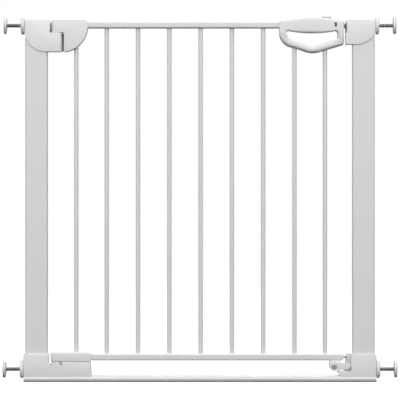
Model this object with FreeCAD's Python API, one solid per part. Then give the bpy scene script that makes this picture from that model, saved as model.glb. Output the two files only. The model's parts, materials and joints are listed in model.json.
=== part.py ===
"""Pressure-fit safety gate: a U-shaped frame, a barred leaf on a rising hinge, and four wall spindles.

Units are millimetres. X runs along the doorway, Y through it (-Y is the front), Z is up.
The origin is on the floor, under the middle of the gate.
"""
import FreeCAD, Part
import math
import os

from FreeCAD import Vector

X_AXIS = Vector(1, 0, 0)
Y_AXIS = Vector(0, 1, 0)
Z_AXIS = Vector(0, 0, 1)

# ---- overall layout -------------------------------------------------------------------------
TOP_Z = 762.3                # top of both housings
POST_OUTER_X = 368.2         # outer side of each upright
POST_WIDTH = 47.2
POST_HALF_DEPTH = 10.0
POST_CORNER = 5.0
POST_TOP_Z = 759.0
TUBE_WALL = 1.2

BAR_RAIL_TOP = 758.6         # top rail
BAR_RAIL_LOW = 745.4
LOW_RAIL_TOP = 58.8          # bottom rail
LOW_RAIL_LOW = 45.4
RAIL_HALF_DEPTH = 10.0
RAIL_CORNER = 3.0
TOP_RAIL_X = (-276.0, 216.0)
LOW_RAIL_X = (-284.0, 299.6)

SILL_HALF_LENGTH = 371.5     # threshold bar
SILL_HEIGHT = 13.0
SILL_HALF_DEPTH = 15.0
SILL_WALL = 1.5
SILL_CAP = 3.0

# ---- bars -----------------------------------------------------------------------------------
BAR_RADIUS = 4.75
BAR_WALL = 0.8
BAR_COUNT = 9
BAR_MIDDLE_X = 1.3
BAR_PITCH = 66.0
BAR_END_PITCH = 64.3         # the gap to the first and the last bar
LOOP_BAR_TOP = (709.0, 705.0)  # tops of the two bars that end in the handle's lower loop

# ---- hinge ----------------------------------------------------------------------------------
HINGE_X = -302.5
HINGE_RISE = 8.0             # how far the leaf climbs in a quarter turn
PIN_RADIUS = 4.0
PIN_CLEARANCE = 0.05
KNUCKLE_Z = 735.8            # top of the frame's knuckle
KNUCKLE_LOW = 695.6
KNUCKLE_GAP = 0.4
LIP_THICK = 1.5              # the webs that close the two hinge gaps behind
COVER_HALF_DEPTH = 12.5
KNUCKLE_ROUND = 6.5
UPPER_PIN_Z = (704.0, 756.0)
LOWER_PIN_Z = (16.0, 51.0)

# ---- cam under the leaf's foot --------------------------------------------------------------
CAM_RADIUS = 10.8
CAM_DEPTH = 5.0
CAM_LOW = 29.6
CAM_GAP = 0.1

# ---- boots ----------------------------------------------------------------------------------
BOOT_OUTER_X = 371.5
BOOT_HALF_DEPTH = 13.5
BOOT_TOP = 58.8
BOOT_LOW = 10.4
BOOT_LEFT_INNER = -319.7
BOOT_STEP_X = (-290.0, -230.0)
BOOT_STEP_TOP = 42.0
BOOT_RIGHT_INNER = 318.6
BOOT_REAR_X = 307.0
BOOT_REAR_FRONT_Y = -9.8
BOOT_SHELF_TOP = 22.9
BOOT_SHELF_X = 290.0
CATCH_Z = 52.1               # the leaf's catch pin
CATCH_RADIUS = 1.8
CATCH_X = (286.0, 309.6)

# ---- latch, handle --------------------------------------------------------------------------
LATCH_INNER_X = 307.0
LATCH_LOW = 711.2
NOTCH_LOW = 735.6
NOTCH_DEPTH = 2.4
HANDLE_HALF_DEPTH = 14.5
HANDLE_X = (167.1, 303.3)
HANDLE_LOW = 692.9
BOLT_Z = (745.4, 755.0)
BOLT_X = (258.0, 313.0)
BOLT_HALF_DEPTH = 3.6
BOLT_TRAVEL = 9.2
BOLT_ARM_X = (264.5, 271.5)  # the arm from the bolt up to the thumb slide
BOLT_ARM_HALF_DEPTH = 3.0
BOLT_ARM_TOP = 766.4
THUMB_X = (258.5, 277.5)
THUMB_HALF_DEPTH = 8.0
THUMB_TOP = 772.3
SPRING_LENGTH = 22.2
SPRING_PITCH = 3.0
SPRING_RADIUS = 3.2
SPRING_WIRE = 0.45           # radius of the spring's wire
WINDOW_X = (283.2, 288.4)
WINDOW_Z = (747.8, 757.0)
FLAG_X = (280.5, 299.5)      # green left half, red right half

# ---- stop under the leaf --------------------------------------------------------------------
STOP_X = 282.5
STOP_Z = 33.7
STOP_LOBE = 9.9
STOP_TONGUE_Y = (-14.3, -10.3)
STOP_END_X = 316.4
STOP_TONGUE_Z = (26.3, 41.0)

# ---- wall spindles --------------------------------------------------------------------------
SPINDLE_UPPER_Z = 751.0
SPINDLE_LOWER_Z = 26.5
ROD_RADIUS = 4.0
ROD_INNER_X = 351.0
WHEEL_RADIUS = 19.0
WHEEL_THICK = 7.6
WHEEL_LIFT = 0.3             # gap between a wheel and the part that it bears on
WHEEL_RIM_ROUND = 3.4
ROD_VISIBLE = 30.3
CUP_RADIUS = 17.5
CUP_THICK = 3.4
PAD_THICK = 2.2

FIT = 0.05                   # gap all round a tube that a moulding holds
FAR = 2000.0


def box(x_range, y_range, z_range):
    """A block between two limits on each axis."""
    corner = Vector(min(x_range), min(y_range), min(z_range))
    return Part.makeBox(
        abs(x_range[1] - x_range[0]), abs(y_range[1] - y_range[0]), abs(z_range[1] - z_range[0]), corner)


def rod(start, axis, radius, length):
    """A round bar from a start point along an axis."""
    return Part.makeCylinder(radius, length, Vector(*start), axis)


def outline(start, *steps):
    """A closed wire in the XZ plane. A step is (x, z), or (x, z, via_x, via_z) for an arc."""
    edges = []
    here = Vector(start[0], 0, start[1])
    for step in steps + (start,):
        there = Vector(step[0], 0, step[1])
        if len(step) == 4:
            edges.append(Part.Arc(here, Vector(step[2], 0, step[3]), there).toShape())
        elif here.distanceToPoint(there) > 1e-6:
            edges.append(Part.LineSegment(here, there).toShape())
        here = there
    return Part.Wire(edges)


def plate(wire, y_low, y_high):
    """The area inside an XZ outline, carried from one Y to another."""
    face = Part.Face(wire)
    face.translate(Vector(0, y_low, 0))
    return face.extrude(Vector(0, y_high - y_low, 0))


def capped(x_range, y_half, z_range, left_round, right_round):
    """A block whose upright edges are rounded by one radius on the left and one on the right."""
    x_low, x_high = x_range
    bend = 1 - math.sqrt(0.5)
    corners = (
        (x_low, 1, -y_half, 1, left_round), (x_high, -1, -y_half, 1, right_round),
        (x_high, -1, y_half, -1, right_round), (x_low, 1, y_half, -1, left_round))
    turns = []
    for index, (x, right, y, up, radius) in enumerate(corners):
        along = Vector(x + right * radius, y, z_range[0])
        across = Vector(x, y + up * radius, z_range[0])
        middle = Vector(x + right * radius * bend, y + up * radius * bend, z_range[0])
        turns.append((across, middle, along) if index % 2 == 0 else (along, middle, across))
    edges = []
    for turn, following in zip(turns, turns[1:] + turns[:1]):
        edges.append(Part.Arc(*turn).toShape())
        edges.append(Part.LineSegment(turn[2], following[0]).toShape())
    return Part.Face(Part.Wire(edges)).extrude(Vector(0, 0, z_range[1] - z_range[0]))


def soften(shape, radius, chosen):
    """Round the edges that a test picks out."""
    edges = [edge for edge in shape.Edges if chosen(edge)]
    return shape.makeFillet(radius, edges)


def lies_on(edge, axis, value):
    """Whether the whole edge lies in the plane where one coordinate has a given value."""
    limits = edge.BoundBox
    low = getattr(limits, axis + "Min")
    high = getattr(limits, axis + "Max")
    return abs(low - value) < 1e-3 and abs(high - value) < 1e-3


def rounded_bar(x_range, y_half, z_range, radius):
    """A solid along X with rounded long edges."""
    solid = box(x_range, (-y_half, y_half), z_range)
    return soften(solid, radius, lambda edge: edge.BoundBox.XLength > 1)


def rail_tube(x_range, z_range):
    """A hollow rail along X."""
    outer = rounded_bar(x_range, RAIL_HALF_DEPTH, z_range, RAIL_CORNER)
    inner = rounded_bar(
        (x_range[0] - 1, x_range[1] + 1), RAIL_HALF_DEPTH - TUBE_WALL,
        (z_range[0] + TUBE_WALL, z_range[1] - TUBE_WALL), RAIL_CORNER - TUBE_WALL)
    return outer.cut(inner)


def halves(solid):
    """Front and rear shells of a casing that splits at Y = 0."""
    front = solid.common(box((-FAR, FAR), (-FAR, 0), (-FAR, FAR)))
    rear = solid.common(box((-FAR, FAR), (0, FAR), (-FAR, FAR)))
    return front, rear


def mirrored(solid):
    """The same solid on the other side of the gate."""
    return solid.mirror(Vector(0, 0, 0), X_AXIS)


# ---- frame ----------------------------------------------------------------------------------
def upright(side):
    """A flat steel tube, closed by the boot below and by the housing above."""
    inner_x = POST_OUTER_X - POST_WIDTH
    z_range = (SILL_HEIGHT, POST_TOP_Z)
    outer = capped((inner_x, POST_OUTER_X), POST_HALF_DEPTH, z_range, POST_CORNER, POST_CORNER)
    core = capped(
        (inner_x + TUBE_WALL, POST_OUTER_X - TUBE_WALL), POST_HALF_DEPTH - TUBE_WALL,
        (z_range[0] - 1, z_range[1] + 1), POST_CORNER - TUBE_WALL, POST_CORNER - TUBE_WALL)
    tube = outer.cut(core)
    for z in (SPINDLE_UPPER_Z, SPINDLE_LOWER_Z):
        tube = tube.cut(rod((POST_OUTER_X - 5, 0, z), X_AXIS, ROD_RADIUS + 0.6, 10))
    return tube if side > 0 else mirrored(tube)


def oval_bar(x_range, inset):
    """A flat-oval bar along X on the floor, drawn in by an inset all round."""
    return rounded_bar(
        x_range, SILL_HALF_DEPTH - inset, (inset, SILL_HEIGHT - inset), SILL_HEIGHT / 2 - inset - 0.01)


def threshold_bar():
    """The flat-oval tube that joins the uprights along the floor."""
    half = SILL_HALF_LENGTH - SILL_CAP
    return oval_bar((-half, half), 0).cut(oval_bar((-FAR, FAR), SILL_WALL))


def threshold_end_caps():
    """A plug with a flange in each end of the threshold bar."""
    plug = SILL_HALF_LENGTH - 15
    flange = oval_bar((SILL_HALF_LENGTH - SILL_CAP, SILL_HALF_LENGTH), 0)
    cap = flange.fuse(oval_bar((plug, SILL_HALF_LENGTH - 1), SILL_WALL))
    return Part.makeCompound([cap, mirrored(cap)])


def spindle_bores(inner_x, outer_x, z):
    """The hole that guides one spindle through a casing."""
    return rod((inner_x, 0, z), X_AXIS, ROD_RADIUS + 0.08, outer_x - inner_x)


def post_room():
    """The socket that the right upright sits in."""
    x_range = (POST_OUTER_X - POST_WIDTH - FIT, POST_OUTER_X + FIT)
    corner = POST_CORNER + FIT
    return capped(x_range, POST_HALF_DEPTH + FIT, (0, POST_TOP_Z), corner, corner)


def boot_block(wire):
    """A moulded foot with this outline, sitting astride the threshold bar and open for its upright."""
    block = plate(wire, -BOOT_HALF_DEPTH, BOOT_HALF_DEPTH)
    block = soften(
        block, 1.5, lambda edge: edge.BoundBox.YLength < 1e-3 and edge.BoundBox.ZMax > BOOT_LOW + 1)
    return block.cut(oval_bar((-FAR, FAR), -FIT))


def left_boot():
    """The hinge-side foot: socket for the upright, V-grooved cam seat, and a step under the leaf."""
    wire = outline(
        (-BOOT_OUTER_X, BOOT_LOW), (-BOOT_OUTER_X, BOOT_TOP - 2), (-BOOT_OUTER_X + 2, BOOT_TOP),
        (BOOT_LEFT_INNER - 2, BOOT_TOP), (BOOT_LEFT_INNER, BOOT_TOP - 2), (BOOT_LEFT_INNER, 38.0),
        (BOOT_STEP_X[0] - 0.5, 38.0), (BOOT_STEP_X[0] - 0.5, BOOT_STEP_TOP),
        (BOOT_STEP_X[1] - 2, BOOT_STEP_TOP), (BOOT_STEP_X[1] - 1, BOOT_STEP_TOP - 1),
        (BOOT_STEP_X[1] + 1.5, BOOT_LOW))
    block = boot_block(wire)
    slope = CAM_DEPTH / CAM_RADIUS
    seat = Part.Wire([
        Part.LineSegment(Vector(0, a[0], a[1]), Vector(0, b[0], b[1])).toShape()
        for a, b in (
            ((-20, CAM_LOW + 20 * slope), (0, CAM_LOW)), ((0, CAM_LOW), (20, CAM_LOW + 20 * slope)),
            ((20, CAM_LOW + 20 * slope), (20, 70)), ((20, 70), (-20, 70)),
            ((-20, 70), (-20, CAM_LOW + 20 * slope)))])
    seat.translate(Vector(BOOT_LEFT_INNER + 3.7, 0, 0))
    groove = Part.Face(seat).extrude(Vector(BOOT_STEP_X[0] - 0.5 - BOOT_LEFT_INNER - 3.7, 0, 0))
    block = block.cut(groove).cut(mirrored(post_room()))
    block = block.cut(rod((HINGE_X, 0, LOWER_PIN_Z[0]), Z_AXIS, PIN_RADIUS, 60))
    return block.cut(mirrored(spindle_bores(POST_OUTER_X - 1, BOOT_OUTER_X + 1, SPINDLE_LOWER_Z)))


def right_boot():
    """The latch-side foot: socket for the upright and a recess for the leaf's stop and catch pin."""
    wire = outline(
        (BOOT_OUTER_X, BOOT_LOW), (BOOT_OUTER_X, BOOT_TOP - 6),
        (BOOT_OUTER_X - 5, BOOT_TOP, BOOT_OUTER_X - 1.6, BOOT_TOP - 1.9),
        (BOOT_REAR_X + 1.5, BOOT_TOP), (BOOT_REAR_X, BOOT_TOP - 1.5), (BOOT_REAR_X, BOOT_SHELF_TOP + 4),
        (BOOT_REAR_X - 4, BOOT_SHELF_TOP), (BOOT_SHELF_X + 2, BOOT_SHELF_TOP),
        (BOOT_SHELF_X - 1, BOOT_SHELF_TOP - 3), (BOOT_SHELF_X + 5, BOOT_LOW + 3),
        (BOOT_SHELF_X + 7, BOOT_LOW))
    block = boot_block(wire)
    recess = box(
        (BOOT_REAR_X - 10, BOOT_RIGHT_INNER), (-30, BOOT_REAR_FRONT_Y), (BOOT_SHELF_TOP, 80))
    catch = box(
        (BOOT_REAR_X - 10, CATCH_X[1] + 1.0), (-30, CATCH_RADIUS + 0.4),
        (CATCH_Z - CATCH_RADIUS - 0.6, CATCH_Z + CATCH_RADIUS + 1.0))
    block = block.cut(recess).cut(catch).cut(post_room())
    return block.cut(spindle_bores(POST_OUTER_X - 1, BOOT_OUTER_X + 1, SPINDLE_LOWER_Z))


def lower_pivot_pin():
    """The steel pin that stands in the left boot and carries the leaf's foot."""
    return rod((HINGE_X, 0, LOWER_PIN_Z[0]), Z_AXIS, PIN_RADIUS, LOWER_PIN_Z[1] - LOWER_PIN_Z[0])


def upper_hinge_pin():
    """The steel pin through both upper knuckles."""
    return rod((HINGE_X, 0, UPPER_PIN_Z[0]), Z_AXIS, PIN_RADIUS, UPPER_PIN_Z[1] - UPPER_PIN_Z[0])


def casing(wire, half_depth, plan=None):
    """A two-shell casing with softened front and back edges."""
    solid = plate(wire, -half_depth, half_depth)
    solid = soften(
        solid, 1.4, lambda edge: lies_on(edge, "Y", -half_depth) or lies_on(edge, "Y", half_depth))
    return solid if plan is None else solid.common(plan)


def screw(x, z, y_head, head_radius=3.6, depth=15.0):
    """A pan-head screw driven forward from the back of a casing."""
    head = Part.makeCylinder(head_radius, 2.0, Vector(x, y_head, z), Vector(0, -1, 0))
    head = soften(head, 0.8, lambda edge: lies_on(edge, "Y", y_head))
    drive = Part.makeCylinder(1.5, 1.1, Vector(x, y_head + 0.1, z), Vector(0, -1, 0))
    shank = Part.makeCylinder(1.5, depth, Vector(x, y_head - 1.9, z), Vector(0, -1, 0))
    return head.fuse(shank).cut(drive)


def screw_room(x, z, y_head, head_radius=3.6, depth=15.0):
    """The counterbore and pilot hole that one screw fills."""
    head = Part.makeCylinder(head_radius + 0.2, 8.0, Vector(x, y_head + 6.0, z), Vector(0, -1, 0))
    shank = Part.makeCylinder(1.5, depth, Vector(x, y_head - 1.9, z), Vector(0, -1, 0))
    return head.fuse(shank)


HINGE_SCREWS = ((-313.5, 729.0),)
LATCH_SCREWS = ((316.0, 740.0), (316.0, 718.5))
HOUSING_SCREW_Y = COVER_HALF_DEPTH - 0.6


def hinge_housing():
    """The casing on top of the left upright, with the frame's half of the upper hinge."""
    tongue_x = HINGE_X + 11.3
    wall_x = HINGE_X - 14.0
    outer_x = -POST_OUTER_X - 1.2
    arc_x, arc_z, arc_r = -324.9, 740.0, 44.4
    bend = arc_r * math.sqrt(0.5)
    wire = outline(
        (outer_x, arc_z), (outer_x, TOP_Z - 1.5), (outer_x + 1.5, TOP_Z), (wall_x - 1.0, TOP_Z),
        (wall_x, TOP_Z - 1.0), (wall_x, KNUCKLE_Z), (tongue_x, KNUCKLE_Z), (tongue_x, KNUCKLE_LOW),
        (arc_x, KNUCKLE_LOW), (outer_x, arc_z, arc_x - bend, arc_z - bend))
    plan = capped((outer_x, tongue_x), COVER_HALF_DEPTH, (600, 800), 2.0, KNUCKLE_ROUND)
    solid = casing(wire, COVER_HALF_DEPTH, plan)
    lip = box((wall_x - 2.0, HINGE_X - 7.7), (COVER_HALF_DEPTH - LIP_THICK, COVER_HALF_DEPTH - 0.2),
              (KNUCKLE_Z - 1.0, TOP_Z - 1.5))
    solid = solid.fuse(lip).cut(mirrored(post_room()))
    pin_low = UPPER_PIN_Z[0] - 1.0
    solid = solid.cut(rod((HINGE_X, 0, pin_low), Z_AXIS, PIN_RADIUS + PIN_CLEARANCE, 60))
    solid = solid.cut(mirrored(spindle_bores(POST_OUTER_X - 1, POST_OUTER_X + 3, SPINDLE_UPPER_Z)))
    for x, z in HINGE_SCREWS:
        solid = solid.cut(screw_room(x, z, HOUSING_SCREW_Y))
    return halves(solid)


def latch_housing():
    """The casing on top of the right upright, notched for the latch bolt."""
    outer_x = POST_OUTER_X + 1.2
    wire = outline(
        (LATCH_INNER_X, TOP_Z - 1), (LATCH_INNER_X + 1, TOP_Z), (outer_x - 1.5, TOP_Z),
        (outer_x, TOP_Z - 1.5), (outer_x, 734.0), (325.6, LATCH_LOW, 351.4, 717.4),
        (LATCH_INNER_X + 1.5, LATCH_LOW), (LATCH_INNER_X, LATCH_LOW + 1.5))
    solid = casing(wire, COVER_HALF_DEPTH)
    notch = box((LATCH_INNER_X - 2, LATCH_INNER_X + NOTCH_DEPTH), (-30, 8.0), (NOTCH_LOW, TOP_Z + 5))
    keeper = box(
        (LATCH_INNER_X - 2, BOLT_X[1] + 1.2), (-BOLT_HALF_DEPTH - 0.5, BOLT_HALF_DEPTH + 0.5),
        (BOLT_Z[0] - 0.8, BOLT_Z[1] + 1.2))
    solid = solid.cut(post_room()).cut(notch).cut(keeper)
    solid = solid.cut(spindle_bores(POST_OUTER_X - 1, POST_OUTER_X + 3, SPINDLE_UPPER_Z))
    for x, z in LATCH_SCREWS:
        solid = solid.cut(screw_room(x, z, HOUSING_SCREW_Y))
    return halves(solid)


def frame_screws():
    """The screws that close the two housings from behind."""
    return Part.makeCompound([screw(x, z, HOUSING_SCREW_Y) for x, z in HINGE_SCREWS + LATCH_SCREWS])


# ---- wall spindles --------------------------------------------------------------------------
def spindle_parts(side, z, bearing_x):
    """Wheel, threaded rod, cup and rubber pad of one spindle, outward from a bearing face."""
    wheel_x = bearing_x + WHEEL_LIFT
    wheel = rod((wheel_x, 0, z), X_AXIS, WHEEL_RADIUS, WHEEL_THICK)
    wheel = soften(
        wheel, WHEEL_RIM_ROUND, lambda edge: edge.BoundBox.YLength > 1 and edge.BoundBox.XLength < 1)
    wheel = wheel.cut(rod((wheel_x - 1, 0, z), X_AXIS, ROD_RADIUS + PIN_CLEARANCE, WHEEL_THICK + 2))
    cup_x = wheel_x + WHEEL_THICK + ROD_VISIBLE
    shaft = rod((ROD_INNER_X, 0, z), X_AXIS, ROD_RADIUS, cup_x - ROD_INNER_X)
    cup = rod((cup_x, 0, z), X_AXIS, CUP_RADIUS, CUP_THICK)
    cup = soften(cup, 1.2, lambda edge: lies_on(edge, "X", cup_x) and edge.BoundBox.YLength > 1)
    pad = rod((cup_x + CUP_THICK, 0, z), X_AXIS, CUP_RADIUS, PAD_THICK)
    pieces = {"adjusting_wheel": wheel, "spindle": shaft, "pad_cup": cup, "pad_face": pad}
    return pieces if side > 0 else {name: mirrored(piece) for name, piece in pieces.items()}


# ---- leaf -----------------------------------------------------------------------------------
def bar_positions():
    """X of each bar: an even pitch, with slightly closer bars at both ends."""
    middle = (BAR_COUNT - 1) / 2
    places = []
    for index in range(BAR_COUNT):
        step = index - middle
        inner = max(-middle + 1, min(middle - 1, step))
        places.append(BAR_MIDDLE_X + inner * BAR_PITCH + (step - inner) * BAR_END_PITCH)
    return places


def bar(x, top_z):
    """A round tube from the bottom rail upwards."""
    height = top_z - LOW_RAIL_TOP
    outer = rod((x, 0, LOW_RAIL_TOP), Z_AXIS, BAR_RADIUS, height)
    return outer.cut(rod((x, 0, LOW_RAIL_TOP - 1), Z_AXIS, BAR_RADIUS - BAR_WALL, height + 2))


def bars_room():
    """The sockets that the bars sit in."""
    tops = [BAR_RAIL_LOW] * (BAR_COUNT - 2) + list(LOOP_BAR_TOP)
    return Part.makeCompound([
        rod((x, 0, LOW_RAIL_TOP), Z_AXIS, BAR_RADIUS + FIT, top - LOW_RAIL_TOP)
        for x, top in zip(bar_positions(), tops)])


def rail_room(x_range, z_range):
    """The space that a rail takes up."""
    return rounded_bar(x_range, RAIL_HALF_DEPTH, z_range, RAIL_CORNER)


COVER_SCREWS = ((-277.0, 712.0), (-250.0, 738.5))
HANDLE_SCREWS = ((175.0, 734.5), (222.0, 761.6), (230.5, 741.0), (297.0, 738.0), (240.0, 700.6))
HANDLE_SCREW_Y = HANDLE_HALF_DEPTH - 0.8


def leaf_hinge_cover():
    """The casing at the leaf's upper hinge corner."""
    knuckle_x = HINGE_X - 9.2
    lower_x = HINGE_X + 16.2
    knuckle_low = KNUCKLE_Z + KNUCKLE_GAP
    wire = outline(
        (knuckle_x, knuckle_low), (knuckle_x, TOP_Z - 1), (knuckle_x + 1, TOP_Z), (-246.0, TOP_Z),
        (-236.3, 757.0, -240.6, 761.2), (-236.3, 748.3), (-281.9, KNUCKLE_LOW, -251.9, 712.5),
        (lower_x + 2, KNUCKLE_LOW - 0.5), (lower_x, KNUCKLE_LOW + 2), (lower_x, knuckle_low))
    plan = capped((knuckle_x, -200), COVER_HALF_DEPTH, (600, 800), KNUCKLE_ROUND, 1.0)
    solid = casing(wire, COVER_HALF_DEPTH, plan)
    lip = box((HINGE_X + 10.0, lower_x + 3.0), (COVER_HALF_DEPTH - LIP_THICK, COVER_HALF_DEPTH - 0.2),
              (KNUCKLE_LOW + 1.5, KNUCKLE_Z - 0.5))
    solid = solid.fuse(lip)
    solid = solid.cut(rail_room(TOP_RAIL_X, (BAR_RAIL_LOW, BAR_RAIL_TOP))).cut(bars_room())
    pin_room = UPPER_PIN_Z[1] + 0.4 - 700
    solid = solid.cut(rod((HINGE_X, 0, 700), Z_AXIS, PIN_RADIUS + PIN_CLEARANCE, pin_room))
    for x, z in COVER_SCREWS:
        solid = solid.cut(screw_room(x, z, HOUSING_SCREW_Y))
    return halves(solid)


def hinge_foot():
    """The moulded shoe on the leaf's lower corner, with the cam ridge under it."""
    left_x = HINGE_X - 12.4
    right_x = -231.0
    low, high = 43.0, 62.0
    shoe = capped((left_x, right_x), 12.0, (low, high), 7.5, 2.0)
    shoe = soften(shoe, 1.2, lambda edge: lies_on(edge, "Z", high))
    slope = CAM_DEPTH / CAM_RADIUS
    seat_low = CAM_LOW + CAM_GAP
    nub = rod((HINGE_X, 0, seat_low - 1), Z_AXIS, CAM_RADIUS, low - seat_low + 2)
    profile = [(-12, seat_low + 12 * slope), (0, seat_low), (12, seat_low + 12 * slope), (12, 50), (-12, 50)]
    ridge = Part.makePolygon([Vector(HINGE_X - 15, y, z) for y, z in profile + profile[:1]])
    nub = nub.common(Part.Face(ridge).extrude(Vector(30, 0, 0)))
    shoe = shoe.fuse(nub).removeSplitter()
    shoe = shoe.cut(rail_room((LOW_RAIL_X[0], 0), (LOW_RAIL_LOW, LOW_RAIL_TOP))).cut(bars_room())
    return shoe.cut(rod((HINGE_X, 0, 20), Z_AXIS, PIN_RADIUS + PIN_CLEARANCE, LOWER_PIN_Z[1] + 3 - 20))


def rail_end_cap():
    """The plug that closes the bottom rail's free end and holds the catch pin."""
    flange = plate(
        outline((LOW_RAIL_X[1], LOW_RAIL_LOW), (LOW_RAIL_X[1], LOW_RAIL_TOP), (302.4, LOW_RAIL_TOP),
                (302.4, LOW_RAIL_LOW + 4), (LOW_RAIL_X[1] + 0.6, LOW_RAIL_LOW)),
        -RAIL_HALF_DEPTH, RAIL_HALF_DEPTH)
    plug = rounded_bar(
        (LOW_RAIL_X[1] - 16, LOW_RAIL_X[1]), RAIL_HALF_DEPTH - TUBE_WALL,
        (LOW_RAIL_LOW + TUBE_WALL, LOW_RAIL_TOP - TUBE_WALL), RAIL_CORNER - TUBE_WALL)
    return flange.fuse(plug).cut(catch_pin())


def catch_pin():
    """The steel pin that drops into the right boot's slot."""
    return rod((CATCH_X[0], 0, CATCH_Z), X_AXIS, CATCH_RADIUS, CATCH_X[1] - CATCH_X[0])


def stop_bracket():
    """The lug under the bottom rail that carries the stop tongue."""
    lug = plate(
        outline((STOP_X - STOP_LOBE, LOW_RAIL_LOW), (STOP_X - STOP_LOBE, STOP_Z),
                (STOP_X + STOP_LOBE, STOP_Z, STOP_X, STOP_Z - STOP_LOBE), (STOP_X + STOP_LOBE, 39.0),
                (STOP_X + STOP_LOBE + 5.5, LOW_RAIL_LOW)),
        -9.9, 9.9)
    return lug.cut(rod((STOP_X, -20, STOP_Z), Y_AXIS, 2.5, 26))


def stop_tongue():
    """The turning tongue that bears on the right boot and stops the leaf swinging backwards."""
    middle = (STOP_TONGUE_Z[0] + STOP_TONGUE_Z[1]) / 2
    half = (STOP_TONGUE_Z[1] - STOP_TONGUE_Z[0]) / 2
    end_x = STOP_END_X - half
    tip = plate(
        outline((STOP_X, STOP_TONGUE_Z[0]), (end_x, STOP_TONGUE_Z[0]),
                (end_x, STOP_TONGUE_Z[1], STOP_END_X, middle), (STOP_X, STOP_TONGUE_Z[1])),
        *STOP_TONGUE_Y)
    hub = rod((STOP_X, STOP_TONGUE_Y[0], STOP_Z), Y_AXIS, STOP_LOBE, STOP_TONGUE_Y[1] - STOP_TONGUE_Y[0])
    tongue = hub.fuse(tip).removeSplitter()
    tongue = soften(tongue, 1.0, lambda edge: lies_on(edge, "Y", STOP_TONGUE_Y[0]))
    return tongue.cut(rod((STOP_X, -20, STOP_Z), Y_AXIS, 2.55, 20))


def stop_screw():
    """The cross-head screw on which the tongue turns."""
    face_y = STOP_TONGUE_Y[0] - 0.1
    head = Part.makeCylinder(6.0, 2.4, Vector(STOP_X, face_y, STOP_Z), Vector(0, -1, 0))
    head = soften(head, 1.4, lambda edge: lies_on(edge, "Y", face_y - 2.4))
    shank = rod((STOP_X, face_y - 0.5, STOP_Z), Y_AXIS, 2.5, 19.9)
    reach, half_width = 2.6, 0.6
    depth = (-20, face_y - 1.0)
    across = box((STOP_X - reach, STOP_X + reach), depth, (STOP_Z - half_width, STOP_Z + half_width))
    upright_cut = box((STOP_X - half_width, STOP_X + half_width), depth, (STOP_Z - reach, STOP_Z + reach))
    return head.fuse(shank).cut(across).cut(upright_cut)


# ---- handle and latch -----------------------------------------------------------------------
def handle_body():
    """The loop handle: a top arm along the rail's line and a lower loop on the last two bars."""
    left, right = HANDLE_X
    rim = outline(
        (left, 733.0), (left, TOP_Z - 4.0), (left + 4.0, TOP_Z, left + 1.2, TOP_Z - 1.2),
        (right - 2.5, TOP_Z, 236.0, 768.5), (right, TOP_Z - 2.5, right - 0.75, TOP_Z - 0.75),
        (right, 713.2), (right - 3.2, 709.4, right - 0.9, 710.7), (254.0, 695.6),
        (224.0, 694.8, 238.0, HANDLE_LOW), (196.0, 704.2), (left, 733.0, 175.0, 714.4))
    hole = outline(
        (186.7, 740.4), (284.5, 740.0, 236.0, 735.2), (290.0, 735.0, 288.2, 738.8), (290.0, 726.0),
        (286.4, 721.4, 289.4, 723.2), (239.0, 708.8, 251.8, 712.2), (231.0, 708.8, 235.0, 708.2),
        (197.0, 719.6), (184.4, 730.0, 188.6, 723.8), (186.7, 740.4, 182.0, 736.4))
    solid = plate(rim, -HANDLE_HALF_DEPTH, HANDLE_HALF_DEPTH)
    window = plate(hole, -HANDLE_HALF_DEPTH - 1, HANDLE_HALF_DEPTH + 1)
    return solid.cut(window)


def latch_room():
    """The hollow inside the handle for the bolt, its spring, the thumb slide and the flag."""
    bolt = box(
        (BOLT_X[0] - SPRING_LENGTH - 1.0, HANDLE_X[1] - 2.5), (-BOLT_HALF_DEPTH - 3.5, BOLT_HALF_DEPTH + 0.4),
        (BOLT_Z[0] - 0.4, BOLT_Z[1] + 2.6))
    mouth = box(
        (HANDLE_X[1] - 3, HANDLE_X[1] + 1), (-BOLT_HALF_DEPTH - 0.4, BOLT_HALF_DEPTH + 0.4),
        (BOLT_Z[0] - 0.4, BOLT_Z[1] + 0.4))
    slot = box(
        (BOLT_ARM_X[0] - BOLT_TRAVEL - 1.0, BOLT_ARM_X[1] + 1.0),
        (-BOLT_ARM_HALF_DEPTH - 0.4, BOLT_ARM_HALF_DEPTH + 0.4), (BOLT_Z[1], THUMB_TOP))
    pane = box(WINDOW_X, (-HANDLE_HALF_DEPTH - 1, 0), WINDOW_Z)
    return bolt.fuse(mouth).fuse(slot).fuse(pane)


def handle_shells():
    """Front and rear shells of the handle."""
    solid = handle_body().cut(rail_room(TOP_RAIL_X, (BAR_RAIL_LOW, BAR_RAIL_TOP))).cut(bars_room())
    solid = solid.cut(latch_room())
    for x, z in HANDLE_SCREWS:
        solid = solid.cut(screw_room(x, z, HANDLE_SCREW_Y, depth=18.0))
    return halves(solid)


def leaf_screws():
    """The screws that close the leaf's hinge cover and the handle from behind."""
    covers = [screw(x, z, HOUSING_SCREW_Y) for x, z in COVER_SCREWS]
    handle = [screw(x, z, HANDLE_SCREW_Y, depth=18.0) for x, z in HANDLE_SCREWS]
    return Part.makeCompound(covers + handle)


def latch_bolt():
    """The sliding bolt, with an arm up to the thumb slide."""
    bolt = box(BOLT_X, (-BOLT_HALF_DEPTH, BOLT_HALF_DEPTH), BOLT_Z)
    arm = box(BOLT_ARM_X, (-BOLT_ARM_HALF_DEPTH, BOLT_ARM_HALF_DEPTH), (BOLT_Z[1] - 1, BOLT_ARM_TOP))
    bolt = soften(bolt, 1.2, lambda edge: lies_on(edge, "X", BOLT_X[1]))
    return bolt.fuse(arm)


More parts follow.
